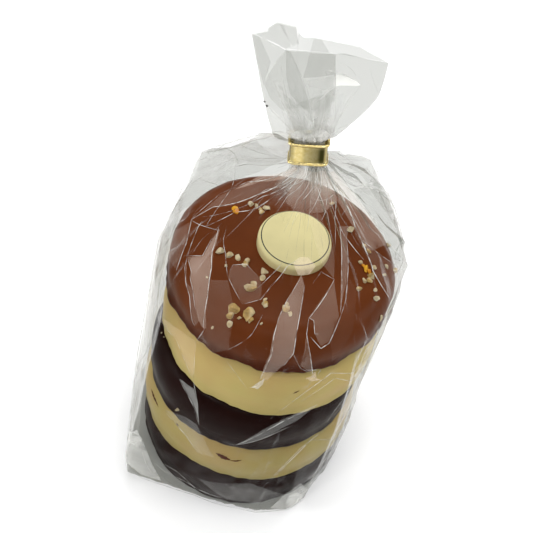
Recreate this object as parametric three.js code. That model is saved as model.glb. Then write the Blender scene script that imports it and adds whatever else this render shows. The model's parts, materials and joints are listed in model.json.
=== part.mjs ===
// A tied clear bag of five glazed lebkuchen. The bag is one closed solid with its true outer shape:
// a flat square foot, walls drawn tight round the biscuits, folded shoulders with an ear at each back
// corner, a gathered neck and an open fan above it. A pressed metal band holds the neck.
// Millimetres, +Z up, with the origin on the surface that the bag stands on, under the biscuits' middle.

import * as THREE from "three";

// The biscuits inside, from the bottom, which hold the film out. Each was set down a little off the
// bag's middle.
const BISCUIT_THICKNESS = 22;
const BISCUITS = [
  { radius: 43.3, right: 0, back: -1.9 },
  { radius: 44.3, right: -0.9, back: -1.0 },
  { radius: 40.8, right: -0.9, back: -2.4 },
  { radius: 40.7, right: 1.0, back: 0.2 },
  { radius: 41.8, right: 0.8, back: 5.0 },
];
const STACK_HEIGHT = BISCUITS.length * BISCUIT_THICKNESS;
const FILM_SLACK = 0.8;

// Heights of the bag's parts.
const RIM_HEIGHT = STACK_HEIGHT - 4;
const NECK_BOTTOM = 151;
const BAND_HEIGHT = 8;
const NECK_TOP = NECK_BOTTOM + BAND_HEIGHT;
const FAN_HEIGHT = 27.5;

// The band and the bundle of film inside it, as half sizes of a rounded rectangle.
const BAND_HALF_WIDTH = 5.8;
const BAND_HALF_DEPTH = 3.2;
const BAND_WALL = 0.45;
const BAND_LIP = 0.4;
const BAND_LIP_HEIGHT = 0.9;
const BAND_GAP = 0.35;
const BAND_SQUARENESS = 4;
const NECK_HALF_WIDTH = BAND_HALF_WIDTH - BAND_WALL - BAND_GAP;
const NECK_HALF_DEPTH = BAND_HALF_DEPTH - BAND_WALL - BAND_GAP;
const NECK_RIGHT = 0.6;
const NECK_BACK = 0.5;

// The neck leans to the left as it rises and is turned a little about its own axis, in degrees.
const NECK_LEAN = 7;
const NECK_TURN = 5;

// The fan of film above the band: half sizes where it springs, part way up and at its open rim, and how
// far its middle lies to the right and to the back there.
const FAN = [
  { part: 0.0, halfWidth: NECK_HALF_WIDTH, halfDepth: NECK_HALF_DEPTH, right: NECK_RIGHT, back: NECK_BACK },
  { part: 0.12, halfWidth: 10.2, halfDepth: 4.0, right: -1.6, back: 2.0 },
  { part: 0.5, halfWidth: 15.6, halfDepth: 4.8, right: -0.9, back: 3.0 },
  { part: 0.85, halfWidth: 18.2, halfDepth: 5.6, right: -1.8, back: 3.9 },
  { part: 1.0, halfWidth: 18.4, halfDepth: 5.8, right: -2.2, back: 4.2 },
];
const FAN_RIM_SLOPE = 0.03;
const FAN_PLEATS = 9;
const FAN_PLEAT_DEPTH = 1.2;
const FAN_DISH = 2.5;

// The film's main folds, by azimuth in degrees from +X. Each runs straight from bend to bend, given as
// height and reach from the bag's middle, and from the last bend to the neck.
const FOLDS = [
  { azimuth: 7.5, bends: [[0, 46], [RIM_HEIGHT + 3, 44], [120, 39]] },
  { azimuth: 26.25, bends: [[0, 54], [RIM_HEIGHT, 46.5], [128, 35.5], [143, 22]] },
  { azimuth: 48.75, bends: [[0, 58], [RIM_HEIGHT, 49.5], [132, 36.5], [143, 20]] },
  { azimuth: 90, bends: [[0, 46], [RIM_HEIGHT, 48], [128, 30], [145, 13]] },
  { azimuth: 123.75, bends: [[0, 54], [RIM_HEIGHT, 49], [136, 27], [147, 13]] },
  { azimuth: 150, bends: [[0, 55], [RIM_HEIGHT, 45.5], [128, 39], [147, 18]] },
  { azimuth: 183.75, bends: [[0, 51.5], [RIM_HEIGHT, 42], [127, 36.5], [145, 20]] },
  { azimuth: 206.25, bends: [[0, 52.5], [RIM_HEIGHT, 43.5], [126, 31]] },
  { azimuth: 225, bends: [[0, 60], [16, 60.5], [RIM_HEIGHT, 47], [127, 28]] },
  { azimuth: 270, bends: [[0, 46.9], [RIM_HEIGHT, 38.5], [127, 24]] },
  { azimuth: 285, bends: [[0, 48.6], [RIM_HEIGHT, 39.5], [127, 24]] },
  { azimuth: 300, bends: [[0, 50.4], [RIM_HEIGHT, 42], [127, 25]] },
  { azimuth: 311.25, bends: [[0, 48.8], [60, 49.5], [RIM_HEIGHT, 45], [127, 27]] },
  { azimuth: 341.25, bends: [[0, 43.4], [RIM_HEIGHT, 42.6], [124, 32]] },
];

// Pleats that run down from the neck over the shoulders and fade out.
const SHOULDER_PLEATS = 16;
const SHOULDER_PLEAT_DEPTH = 0.16;

// Rings of the loft.
const POINTS_ROUND = 96;
const WALL_LEVELS = [0, 3, 12, 24, 37, 50, 63, 76, 88, 97, RIM_HEIGHT];
const SHOULDER_STEPS = 15;
const FAN_STEPS = 9;
const BAND_POINTS_ROUND = 40;

const FILM_COLOUR = 0xdfe2dc;
const BAND_COLOUR = 0xc9a64a;

const degrees = THREE.MathUtils.degToRad;
const lerp = THREE.MathUtils.lerp;

// The distance from the middle to a rounded rectangle, in the direction of the angle.
function roundedReach(angle, halfWidth, halfDepth, squareness) {
  const across = Math.abs(Math.cos(angle) / halfWidth) ** squareness;
  const along = Math.abs(Math.sin(angle) / halfDepth) ** squareness;
  return (across + along) ** (-1 / squareness);
}

// How far one fold reaches from the middle at a height below the neck.
function foldReach(fold, height) {
  const neckReach = roundedReach(degrees(fold.azimuth), NECK_HALF_WIDTH, NECK_HALF_DEPTH, 2);
  const bends = [...fold.bends, [NECK_BOTTOM, neckReach]];
  const above = Math.max(1, bends.findIndex(([bendHeight]) => bendHeight >= height));
  const [lowHeight, lowReach] = bends[above - 1];
  const [highHeight, highReach] = bends[above];
  return lerp(lowReach, highReach, (height - lowHeight) / (highHeight - lowHeight));
}

// The two folds on either side of an azimuth, and the angles to them.
function foldsBeside(azimuth) {
  const after = FOLDS.findIndex((fold) => fold.azimuth > azimuth);
  const next = after === -1 ? 0 : after;
  const last = (next + FOLDS.length - 1) % FOLDS.length;
  const turn = (from, to) => degrees((to - from + 360) % 360);
  return {
    last: FOLDS[last],
    next: FOLDS[next],
    fromLast: turn(FOLDS[last].azimuth, azimuth),
    toNext: turn(azimuth, FOLDS[next].azimuth),
  };
}

// The film is stretched flat between two folds.
function stretchedReach(azimuth, height) {
  const { last, next, fromLast, toNext } = foldsBeside(azimuth);
  const near = foldReach(last, height);
  const far = foldReach(next, height);
  const span = Math.sin(fromLast + toNext);
  return (near * far * span) / (near * Math.sin(fromLast) + far * Math.sin(toNext));
}

// The biscuits push the film out where it would cut across them. It is stretched from one to the next,
// and leaves the top one over its rounded edge.
function stackReach(azimuth, height) {
  const place = THREE.MathUtils.clamp(height / BISCUIT_THICKNESS - 0.5, 0, BISCUITS.length - 1);
  const low = BISCUITS[Math.floor(place)];
  const high = BISCUITS[Math.ceil(place)];
  const angle = degrees(azimuth);
  const edge = ({ radius, right, back }) => radius + right * Math.cos(angle) + back * Math.sin(angle);
  const aboveRim = Math.max(0, height - RIM_HEIGHT);
  return FILM_SLACK + lerp(edge(low), edge(high), place % 1) - 0.25 * aboveRim ** 2;
}

// The pleats sharpen towards the neck.
function pleatFactor(azimuth, height) {
  const gather = THREE.MathUtils.smoothstep(height, RIM_HEIGHT, NECK_BOTTOM);
  const settle = 1 - THREE.MathUtils.smoothstep(height, NECK_BOTTOM - 4, NECK_BOTTOM);
  const wave = Math.abs(Math.sin((SHOULDER_PLEATS / 2) * degrees(azimuth))) - 0.5;
  return 1 + SHOULDER_PLEAT_DEPTH * gather * settle * wave;
}

function bagReach(azimuth, height) {
  const reach = Math.max(stretchedReach(azimuth, height), stackReach(azimuth, height));
  return reach * pleatFactor(azimuth, height);
}

function ringOf(pointAt) {
  return Array.from({ length: POINTS_ROUND }, (_, i) => pointAt((i * 360) / POINTS_ROUND));
}

// A level ring of the walls or the shoulders; its middle moves over to the neck's as it rises.
function bodyRing(height) {
  const share = THREE.MathUtils.smoothstep(height, RIM_HEIGHT, NECK_BOTTOM);
  return ringOf((azimuth) => {
    const reach = bagReach(azimuth, height);
    const x = share * NECK_RIGHT + reach * Math.cos(degrees(azimuth));
    const y = share * NECK_BACK + reach * Math.sin(degrees(azimuth));
    return new THREE.Vector3(x, y, height);
  });
}

// From the neck's own frame, with its origin in the middle of the band's foot, to its leaning place.
function leaned(point) {
  const halfBand = BAND_HEIGHT / 2;
  point.z -= halfBand;
  point.applyAxisAngle(new THREE.Vector3(0, 0, 1), degrees(NECK_TURN));
  point.applyAxisAngle(new THREE.Vector3(0, 1, 0), degrees(-NECK_LEAN));
  return point.add(new THREE.Vector3(NECK_RIGHT, NECK_BACK, NECK_BOTTOM + halfBand));
}

function neckRing(height) {
  return ringOf((azimuth) => {
    const angle = degrees(azimuth);
    const reach = roundedReach(angle, NECK_HALF_WIDTH, NECK_HALF_DEPTH, BAND_SQUARENESS);
    return leaned(new THREE.Vector3(reach * Math.cos(angle), reach * Math.sin(angle), height - NECK_BOTTOM));
  });
}

// The fan's half sizes part of the way from the band to its rim.
function fanSection(part) {
  const above = Math.max(1, FAN.findIndex((section) => section.part >= part));
  const low = FAN[above - 1];
  const high = FAN[above];
  const share = (part - low.part) / (high.part - low.part);
  return {
    halfWidth: lerp(low.halfWidth, high.halfWidth, share),
    halfDepth: lerp(low.halfDepth, high.halfDepth, share),
    right: lerp(low.right, high.right, share),
    back: lerp(low.back, high.back, share),
  };
}

function fanRing(part) {
  const section = fanSection(part);
  return ringOf((azimuth) => {
    const angle = degrees(azimuth);
    const pleat = FAN_PLEAT_DEPTH * part * Math.sin(FAN_PLEATS * angle);
    const x = section.right + (section.halfWidth + pleat) * Math.cos(angle);
    const y = section.back + (section.halfDepth + pleat) * Math.sin(angle);
    const rise = FAN_HEIGHT - FAN_RIM_SLOPE * (x - section.right);
    return new THREE.Vector3(x, y, NECK_TOP + 0.6 + part * rise);
  });
}

function middleOf(ring, lift) {
  const middle = new THREE.Vector3();
  ring.forEach((point) => middle.addScaledVector(point, 1 / ring.length));
  middle.z += lift;
  return middle;
}

// Joins each ring to the next by two triangles a step.
function sideFaces(rows, columns, closed) {
  const faces = [];
  const joins = closed ? rows : rows - 1;
  for (let row = 0; row < joins; row += 1) {
    const above = (row + 1) % rows;
    for (let column = 0; column < columns; column += 1) {
      const next = (column + 1) % columns;
      const a = row * columns + column;
      const b = row * columns + next;
      const c = above * columns + next;
      const d = above * columns + column;
      faces.push(a, b, c, a, c, d);
    }
  }
  return faces;
}

function geometryOf(points, faces) {
  const geometry = new THREE.BufferGeometry();
  geometry.setFromPoints(points);
  geometry.setIndex(faces);
  geometry.computeVertexNormals();
  return geometry;
}

// A stack of rings, closed at each end by a fan of triangles round a middle point.
function loftSolid(rings, topDish) {
  const columns = rings[0].length;
  const faces = sideFaces(rings.length, columns, false);
  const first = rings[0];
  const last = rings[rings.length - 1];
  const points = [...rings.flat(), middleOf(first, 0), middleOf(last, -topDish)];
  const footMiddle = points.length - 2;
  const topMiddle = points.length - 1;
  const lastStart = (rings.length - 1) * columns;
  for (let column = 0; column < columns; column += 1) {
    const next = (column + 1) % columns;
    faces.push(footMiddle, next, column);
    faces.push(topMiddle, lastStart + column, lastStart + next);
  }
  return geometryOf(points, faces);
}

function bagGeometry() {
  const rings = WALL_LEVELS.map(bodyRing);
  for (let step = 1; step <= SHOULDER_STEPS; step += 1) {
    rings.push(bodyRing(lerp(RIM_HEIGHT, NECK_BOTTOM - 2.5, step / SHOULDER_STEPS)));
  }
  rings.push(neckRing(NECK_BOTTOM - 0.4), neckRing(NECK_TOP + 0.4));
  for (let step = 1; step <= FAN_STEPS; step += 1) {
    rings.push(fanRing(step / FAN_STEPS));
  }
  return loftSolid(rings, FAN_DISH);
}

// The band's section, from inside bottom round to inside top: a flat strip with a rolled lip at each edge.
function bandSection() {
  const lipMiddle = BAND_LIP_HEIGHT / 2;
  return [
    { out: -BAND_WALL, height: lipMiddle },
    { out: 0, height: 0 },
    { out: BAND_LIP, height: lipMiddle },
    { out: 0, height: BAND_LIP_HEIGHT },
    { out: 0, height: BAND_HEIGHT - BAND_LIP_HEIGHT },
    { out: BAND_LIP, height: BAND_HEIGHT - lipMiddle },
    { out: 0, height: BAND_HEIGHT },
    { out: -BAND_WALL, height: BAND_HEIGHT - lipMiddle },
  ];
}

function bandGeometry() {
  const section = bandSection();
  const rings = section.map(({ out, height }) =>
    Array.from({ length: BAND_POINTS_ROUND }, (_, i) => {
      const angle = (i * 2 * Math.PI) / BAND_POINTS_ROUND;
      const reach = roundedReach(angle, BAND_HALF_WIDTH + out, BAND_HALF_DEPTH + out, BAND_SQUARENESS);
      return leaned(new THREE.Vector3(reach * Math.cos(angle), reach * Math.sin(angle), height));
    })
  );
  return geometryOf(rings.flat(), sideFaces(rings.length, BAND_POINTS_ROUND, true));
}

const lebkuchenBag = new THREE.Group();

const bag = new THREE.Mesh(
  bagGeometry(),
  new THREE.MeshStandardMaterial({ color: FILM_COLOUR, roughness: 0.15, metalness: 0 })
);
bag.name = "bag";
lebkuchenBag.add(bag);

const band = new THREE.Mesh(
  bandGeometry(),
  new THREE.MeshStandardMaterial({ color: BAND_COLOUR, roughness: 0.25, metalness: 1 })
);
band.name = "band";
lebkuchenBag.add(band);

export default lebkuchenBag;
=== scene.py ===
"""Looks of a tied clear bag with five glazed lebkuchen: film, biscuits, medallion, nuts, band and stage.

The file is laid out as a Blender add-on and is run as a script. Sizes are in millimetres until a mesh is
written, where MM turns them into metres. Azimuths are in degrees from +X, seen from above.
"""

import json
import math
import random
from contextlib import contextmanager

import bpy
import numpy as np
from bpy.props import FloatProperty, FloatVectorProperty, IntProperty, PointerProperty
from mathutils import Matrix, Vector, geometry, noise
from mathutils.bvhtree import BVHTree

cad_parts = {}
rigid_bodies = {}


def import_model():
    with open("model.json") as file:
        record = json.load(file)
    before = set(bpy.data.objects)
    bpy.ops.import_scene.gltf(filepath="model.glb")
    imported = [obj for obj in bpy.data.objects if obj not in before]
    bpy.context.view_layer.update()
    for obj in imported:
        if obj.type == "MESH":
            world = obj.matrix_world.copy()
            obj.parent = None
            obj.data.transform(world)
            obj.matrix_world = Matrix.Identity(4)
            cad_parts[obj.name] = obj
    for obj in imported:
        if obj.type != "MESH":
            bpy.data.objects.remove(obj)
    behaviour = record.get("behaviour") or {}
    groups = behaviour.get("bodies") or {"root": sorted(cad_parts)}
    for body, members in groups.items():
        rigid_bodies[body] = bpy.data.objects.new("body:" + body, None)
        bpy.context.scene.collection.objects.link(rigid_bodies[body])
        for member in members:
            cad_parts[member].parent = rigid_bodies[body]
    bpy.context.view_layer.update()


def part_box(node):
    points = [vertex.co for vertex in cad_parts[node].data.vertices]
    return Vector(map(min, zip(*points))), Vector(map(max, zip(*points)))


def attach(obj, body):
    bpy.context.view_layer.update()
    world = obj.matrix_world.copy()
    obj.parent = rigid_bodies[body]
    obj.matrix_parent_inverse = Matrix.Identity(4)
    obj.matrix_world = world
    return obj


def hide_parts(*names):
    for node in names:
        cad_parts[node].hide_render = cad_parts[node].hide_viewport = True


bl_info = {
    "name": "Bag of Lebkuchen",
    "version": (1, 0, 0),
    "blender": (4, 5, 0),
    "location": "3D View > Sidebar > Lebkuchen",
    "description": "Builds a tied clear bag of glazed lebkuchen round its packed frame",
    "category": "Add Mesh",
}

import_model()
MM = 0.001
BODY = "root"

BISCUIT_THICKNESS = 22.0


def biscuit(radius, right, back, edge, dome, glaze, shade=1.0):
    sizes = {"radius": radius, "right": right, "back": back, "edge": edge, "dome": dome}
    return {**sizes, "glaze": glaze, "shade": shade}


# The stack, from the bottom: radius, how far each biscuit lies to the right and to the back, how wide its
# top edge is rounded, how far its top falls from the middle to there, its glaze, and the painted shade that
# darkens that glaze.
BISCUITS = [
    biscuit(43.9, -0.9, -2.2, 7.5, 0.6, "dark"),
    biscuit(44.3, -0.9, -1.0, 7.5, 0.6, "white", 0.74),
    biscuit(41.2, -1.7, -2.8, 7.0, 0.6, "dark"),
    biscuit(40.7, 1.0, 0.2, 7.0, 0.6, "white"),
    biscuit(40.9, 1.2, 4.2, 9.5, 2.4, "milk"),
]
STACK_HEIGHT = BISCUIT_THICKNESS * len(BISCUITS)

# The film leaves the stack a little below its top, and stands this far off its side.
RIM_HEIGHT = STACK_HEIGHT - 4.0
FILM_SLACK = 0.8

# The neck leans to the left as it rises, and the band round it leans with it. Its middle is the packed
# band's middle.
BAND_LOW, BAND_HIGH = (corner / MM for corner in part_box("band"))
NECK_MIDDLE = (BAND_LOW + BAND_HIGH) / 2
NECK_LEAN = 7.0
NECK_TURN = 5.0
BAND_HEIGHT = 8.0
BAND_HALF_WIDTH = 5.8
BAND_HALF_DEPTH = 3.2
BAND_LIP = 0.4
NECK_IN_BAND = 0.8
NECK_HALF_WIDTH = BAND_HALF_WIDTH - NECK_IN_BAND
NECK_HALF_DEPTH = BAND_HALF_DEPTH - NECK_IN_BAND
NECK_BOTTOM = NECK_MIDDLE.z - BAND_HEIGHT / 2

# The fan's rim lies a little below the packed bag's top.
FAN_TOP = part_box("bag")[1].z / MM - 0.4

# The film's main folds: azimuth, and bends as height and reach from the bag's middle.
FOLDS = [
    (7.5, [(0, 46), (RIM_HEIGHT + 3, 44), (120, 39)]),
    (26.25, [(0, 54), (RIM_HEIGHT, 46.5), (128, 35.5), (143, 22)]),
    (48.75, [(0, 58), (RIM_HEIGHT, 49.5), (132, 36.5), (143, 20)]),
    (90, [(0, 46), (RIM_HEIGHT, 48), (128, 30), (145, 13)]),
    (123.75, [(0, 54), (RIM_HEIGHT, 49), (137.5, 28.5), (149, 14)]),
    (150, [(0, 55), (RIM_HEIGHT, 45.5), (128, 39), (147, 18)]),
    (183.75, [(0, 51.5), (RIM_HEIGHT, 42), (127, 36.5), (145, 20)]),
    (206.25, [(0, 52.5), (RIM_HEIGHT, 43.5), (126, 31)]),
    (225, [(0, 60), (16, 60.5), (RIM_HEIGHT, 47), (127, 28)]),
    (270, [(0, 46.9), (RIM_HEIGHT, 38.5), (127, 24)]),
    (285, [(0, 48.6), (RIM_HEIGHT, 39.5), (127, 24)]),
    (300, [(0, 50.4), (RIM_HEIGHT, 42), (127, 25)]),
    (311.25, [(0, 48.8), (60, 49.5), (RIM_HEIGHT, 45), (127, 27)]),
    (341.25, [(0, 43.4), (RIM_HEIGHT, 42.6), (124, 32)]),
]

# The camera, as it stood: its place in millimetres, how far it looked down, its roll and focal length.
CAMERA_PLACE = (-4.13, -173.0, 300.6)
CAMERA_DOWN = 49.42
CAMERA_ROLL = 12.32
FOCAL_PIXELS = 750.0
PICTURE_PIXELS = 533
SENSOR_MM = 36.0

# ---------------------------------------------------------------------------------------- small helpers


def scene_settings(name):
    return getattr(bpy.context.scene, name)


def lerp(low, high, share):
    return low + (high - low) * share


def smoothstep(value, low, high):
    share = min(1.0, max(0.0, (value - low) / (high - low)))
    return share * share * (3 - 2 * share)


def table_value(place, table):
    """The value at a place between the rows of a table, each a place and its value."""
    return float(np.interp(place, [row[0] for row in table], [row[1] for row in table]))


def polar(azimuth, reach, height=0.0):
    angle = math.radians(azimuth)
    return Vector((reach * math.cos(angle), reach * math.sin(angle), height))


def deselect_all():
    if bpy.context.object and bpy.context.object.mode != "OBJECT":
        bpy.ops.object.mode_set(mode="OBJECT")
    bpy.ops.object.select_all(action="DESELECT")


def select_only(piece):
    deselect_all()
    piece.select_set(True)
    bpy.context.view_layer.objects.active = piece


@contextmanager
def all_in_edit_mode(piece):
    select_only(piece)
    bpy.ops.object.mode_set(mode="EDIT")
    bpy.ops.mesh.select_all(action="SELECT")
    yield
    bpy.ops.object.mode_set(mode="OBJECT")


def new_piece(name, points, edges, faces):
    """A mesh object from points in millimetres, selected and active."""
    mesh = bpy.data.meshes.new(name)
    mesh.from_pydata([Vector(point) * MM for point in points], edges, faces)
    piece = bpy.data.objects.new(name, mesh)
    bpy.context.scene.collection.objects.link(piece)
    select_only(piece)
    return piece


def set_attribute(piece, name, values):
    """Stores a number for each point of a piece, for its material to read."""
    attribute = piece.data.attributes.new(name, "FLOAT", "POINT")
    attribute.data.foreach_set("value", values)


def merge_and_turn_out(piece, distance=1e-6):
    with all_in_edit_mode(piece):
        bpy.ops.mesh.remove_doubles(threshold=distance)
        bpy.ops.mesh.normals_make_consistent(inside=False)


def spun_piece(name, outline, steps):
    """Spins an outline of (reach, height) points round the Z axis into a closed solid."""
    points = [(reach, 0.0, height) for reach, height in outline]
    piece = new_piece(name, points, [(i, i + 1) for i in range(len(points) - 1)], [])
    with all_in_edit_mode(piece):
        bpy.ops.mesh.spin(steps=steps, angle=2 * math.pi, center=(0, 0, 0), axis=(0, 0, 1))
    merge_and_turn_out(piece)
    return piece


def arc(middle, radius, start, end, steps):
    """Points of (reach, height) on an arc, from one angle to another in degrees."""
    points = []
    for step in range(steps + 1):
        angle = math.radians(lerp(start, end, step / steps))
        points.append((middle[0] + radius * math.cos(angle), middle[1] + radius * math.sin(angle)))
    return points


def cut_path(path, cuts_for):
    """The path's points with more between them, as many as its function says for a length. The last
    point is left out."""
    fine = []
    for start, end in zip(path, path[1:]):
        cuts = cuts_for((end - start).length)
        fine += [start.lerp(end, cut / cuts) for cut in range(cuts)]
    return fine


def grid_faces(columns, rows, first=0, round_columns=False, round_rows=False):
    """Four-sided faces between points listed column by column, closed round where that is said."""
    faces = []
    for column in range(columns if round_columns else columns - 1):
        ahead = ((column + 1) % columns - column) * rows
        for row in range(rows if round_rows else rows - 1):
            a, b = (first + column * rows + corner for corner in (row, (row + 1) % rows))
            faces.append((a, b, b + ahead, a + ahead))
    return faces


def finish_piece(piece, material, smooth=True):
    piece.data.materials.clear()
    piece.data.materials.append(material)
    select_only(piece)
    if smooth:
        bpy.ops.object.shade_smooth()
    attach(piece, BODY)
    piece.select_set(False)


# ------------------------------------------------------------------------------------------- materials


def new_material(name):
    material = bpy.data.materials.new(name)
    material.use_nodes = True
    material.node_tree.nodes.clear()
    return material


def add_node(material, kind, inputs=None, **properties):
    """A shader node with its properties and inputs. An input that is given a socket is linked to it."""
    node = material.node_tree.nodes.new("ShaderNode" + kind)
    for key, value in properties.items():
        setattr(node, key, value)
    for key, value in (inputs or {}).items():
        if isinstance(value, bpy.types.NodeSocket):
            material.node_tree.links.new(value, node.inputs[key])
        else:
            node.inputs[key].default_value = value
    return node


def surfaced(material, shader):
    """The material, with its surface linked to a shader."""
    add_node(material, "OutputMaterial", {"Surface": shader})
    return material


def principled(material, inputs):
    return surfaced(material, add_node(material, "BsdfPrincipled", inputs).outputs["BSDF"])


def attribute_value(material, name):
    return add_node(material, "Attribute", attribute_name=name).outputs["Fac"]


def object_noise(material, scale, detail=4.0):
    place = add_node(material, "TexCoord").outputs["Object"]
    return add_node(material, "TexNoise", {"Vector": place, "Scale": scale, "Detail": detail}).outputs["Fac"]


def calculated(material, operation, *values, clamp=False):
    inputs = dict(enumerate(values))
    return add_node(material, "Math", inputs, operation=operation, use_clamp=clamp).outputs["Value"]


def mapped(material, value, low, high, from_low=0.0, from_high=1.0):
    """A value carried over from one range to another, and held inside it."""
    inputs = {"Value": value, "From Min": from_low, "From Max": from_high, "To Min": low, "To Max": high}
    return add_node(material, "MapRange", inputs).outputs["Result"]


def mixed_colour(material, factor, start, end):
    inputs = {"Factor": factor, "A": start, "B": end}
    return add_node(material, "Mix", inputs, data_type="RGBA").outputs["Result"]


def mixed_shader(material, factor, start, end):
    return add_node(material, "MixShader", {"Fac": factor, 1: start, 2: end}).outputs["Shader"]


def clear_shader(material, colour):
    return add_node(material, "BsdfTransparent", {"Color": (*colour, 1)}).outputs["BSDF"]


def shade_between(material, factor, low, high):
    """One colour where the factor is low and another where it is high, with a soft step between."""
    ramp = add_node(material, "ValToRGB", {"Fac": factor})
    for element, stop, colour in zip(ramp.color_ramp.elements, (0.35, 0.65), (low, high)):
        element.position = stop
        element.color = (*colour, 1)
    return ramp.outputs["Color"]


def bump_of(material, heights, strength, distance):
    inputs = {"Strength": strength, "Distance": distance, "Height": heights}
    return add_node(material, "Bump", inputs).outputs["Normal"]


def glaze_material(name, colour, deeper, foot, gloss):
    """Set chocolate: nearly even colour, with painted shade deeper round the foot, soft gloss that wanders a
    little.
    """
    material = new_material(name)
    clouds = object_noise(material, 55.0)
    even = shade_between(material, clouds, deeper, colour)
    uneven = object_noise(material, 120.0, detail=3.0)
    return principled(material, {
        # Painted shade: towards the foot the colour turns to the foot colour.
        "Base Color": mixed_colour(material, attribute_value(material, "foot"), even, (*foot, 1)),
        "Roughness": mapped(material, clouds, gloss - 0.05, gloss + 0.07),
        "Specular IOR Level": 0.06,
        "Normal": bump_of(material, uneven, 0.2, 0.0006),
    })


# What film that scatters light shows, and its painted reflections: the bright room, and over the milk glaze
# its brown too.
HAZE = (0.86, 0.86, 0.83)
PLAIN_PAINTED_REFLECTION = (0.86, 0.86, 0.82)
WARM_PAINTED_REFLECTION = (0.95, 0.76, 0.62)
GATHERED_PAINTED_REFLECTION = (0.97, 0.96, 0.93)


def film_material(name, settings, thickness=1.0):
    """Clear crisp film. Light passes with a faint grey, a little of it scatters as haze, and the two
    faces mirror what is bright, all more so where the film is seen along its face."""
    material = new_material(name)
    normal = bump_of(material, object_noise(material, 90.0, detail=3.0), 0.1, 0.001)
    slant = add_node(material, "LayerWeight", {"Blend": 0.5, "Normal": normal}).outputs["Facing"]
    rise = calculated(material, "POWER", slant, 5.5)
    surface = clear_shader(material, [channel**thickness for channel in settings.tint])
    haze = add_node(material, "BsdfDiffuse", {"Color": (*HAZE, 1)})
    shine = add_node(material, "BsdfGlossy", {"Color": (1, 1, 1, 1), "Roughness": 0.06, "Normal": normal})
    for layer, head_on, along in ((haze, settings.haze, 0.45), (shine, settings.shine, 0.4)):
        share = mapped(material, rise, head_on, along, from_low=0.01)
        surface = mixed_shader(material, share, surface, layer.outputs["BSDF"])
    return surfaced(material, surface)


def crease_material(name):
    """The bent film of a crease, which scatters light from all round."""
    material = new_material(name)
    clear = clear_shader(material, (0.9, 0.9, 0.88))
    bent = add_node(material, "BsdfPrincipled", {"Base Color": (*HAZE, 1), "Roughness": 0.25})
    strength = mapped(material, object_noise(material, 300.0, detail=2.0), 0.05, 0.8, 0.35, 0.65)
    return surfaced(material, mixed_shader(material, strength, clear, bent.outputs["BSDF"]))


def painted_reflection_material(name, colour):
    """A facet of film with a painted reflection of a wide bright field: clear, under an even pale veil."""
    material = new_material(name)
    clear = clear_shader(material, (1, 1, 1))
    veil = add_node(material, "BsdfPrincipled", {"Base Color": (*colour, 1), "Roughness": 0.3})
    streaks = mapped(material, object_noise(material, 60.0, detail=3.0), 0.6, 1.15, 0.3, 0.7)
    # Painted reflection: the pale veil is mixed in as strongly as the facet's attribute says.
    share = calculated(material, "MULTIPLY", attribute_value(material, "painted_reflection"), streaks)
    return surfaced(material, mixed_shader(material, share, clear, veil.outputs["BSDF"]))


def band_material():
    """Pressed gold-coloured metal, with painted dark reflections in patches where the band's shade says so.
    """
    material = new_material("gold_band")
    scuffs = object_noise(material, 700.0, detail=3.0)
    gold = shade_between(material, scuffs, (0.7, 0.55, 0.2), (0.86, 0.72, 0.36))
    # Painted reflection: the band's shade attribute darkens the gold in patches to near black.
    patchy = calculated(material, "MULTIPLY_ADD", scuffs, -0.9, 1.6, clamp=True)
    darker = calculated(material, "MULTIPLY", attribute_value(material, "shade"), patchy)
    return principled(material, {
        "Base Color": mixed_colour(material, darker, gold, (0.03, 0.028, 0.006, 1)),
        "Metallic": 1.0,
        "Roughness": mapped(material, scuffs, 0.12, 0.3),
        "Normal": bump_of(material, object_noise(material, 420.0, detail=2.0), 0.3, 0.0006),
    })


def medallion_material(settings):
    """Ivory chocolate with a thin dark ring line a little inside the edge."""
    material = new_material("medallion_chocolate")
    ivory = Vector(settings.colour)
    plain = shade_between(material, object_noise(material, 120.0), ivory * 0.93, ivory)
    middle = medallion_middle() * MM
    place = add_node(material, "TexCoord").outputs["Object"]
    for operation, by in (("SUBTRACT", (middle.x, middle.y, 0)), ("MULTIPLY", (1, 1, 0))):
        place = add_node(material, "VectorMath", {0: place, 1: by}, operation=operation).outputs["Vector"]
    reach = add_node(material, "VectorMath", {0: place}, operation="LENGTH").outputs["Value"]
    off_line = calculated(material, "SUBTRACT", reach, settings.ring_radius * MM)
    distance = calculated(material, "ABSOLUTE", off_line)
    on_line = calculated(material, "LESS_THAN", distance, settings.ring_width * MM / 2)
    return principled(material, {
        "Base Color": mixed_colour(material, on_line, plain, (0.05, 0.06, 0.06, 1)),
        "Roughness": 0.5,
        "Specular IOR Level": 0.12,
    })


def grain_material(name, light, dark, scale, roughness):
    """Chopped pieces: pale flesh with darker patches and a rough surface."""
    material = new_material(name)
    patches = object_noise(material, scale, detail=6.0)
    return principled(material, {
        "Base Color": shade_between(material, patches, dark, light),
        "Roughness": roughness,
        "Normal": bump_of(material, patches, 0.5, 0.0008),
    })


def nut_material(settings):
    """Cream flesh, and golden brown skin where the piece says so."""
    material = new_material("chopped_nut")
    patches = object_noise(material, 600.0, detail=6.0)
    light, dark = Vector(settings.nut_light), Vector(settings.nut_dark)
    flesh = shade_between(material, patches, light * 0.72, light)
    skin = shade_between(material, patches, dark * 0.55, dark)
    return principled(material, {
        "Base Color": mixed_colour(material, attribute_value(material, "skin"), flesh, skin),
        "Roughness": 0.55,
        "Normal": bump_of(material, patches, 0.6, 0.0008),
    })


# ---------------------------------------------------------------------------------------- the settings


def colour_setting(name, description, default):
    return FloatVectorProperty(name=name, description=description, subtype="COLOR", default=default)


def number_setting(name, description, default, low, high):
    return FloatProperty(name=name, description=description, default=default, min=low, max=high)


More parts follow.
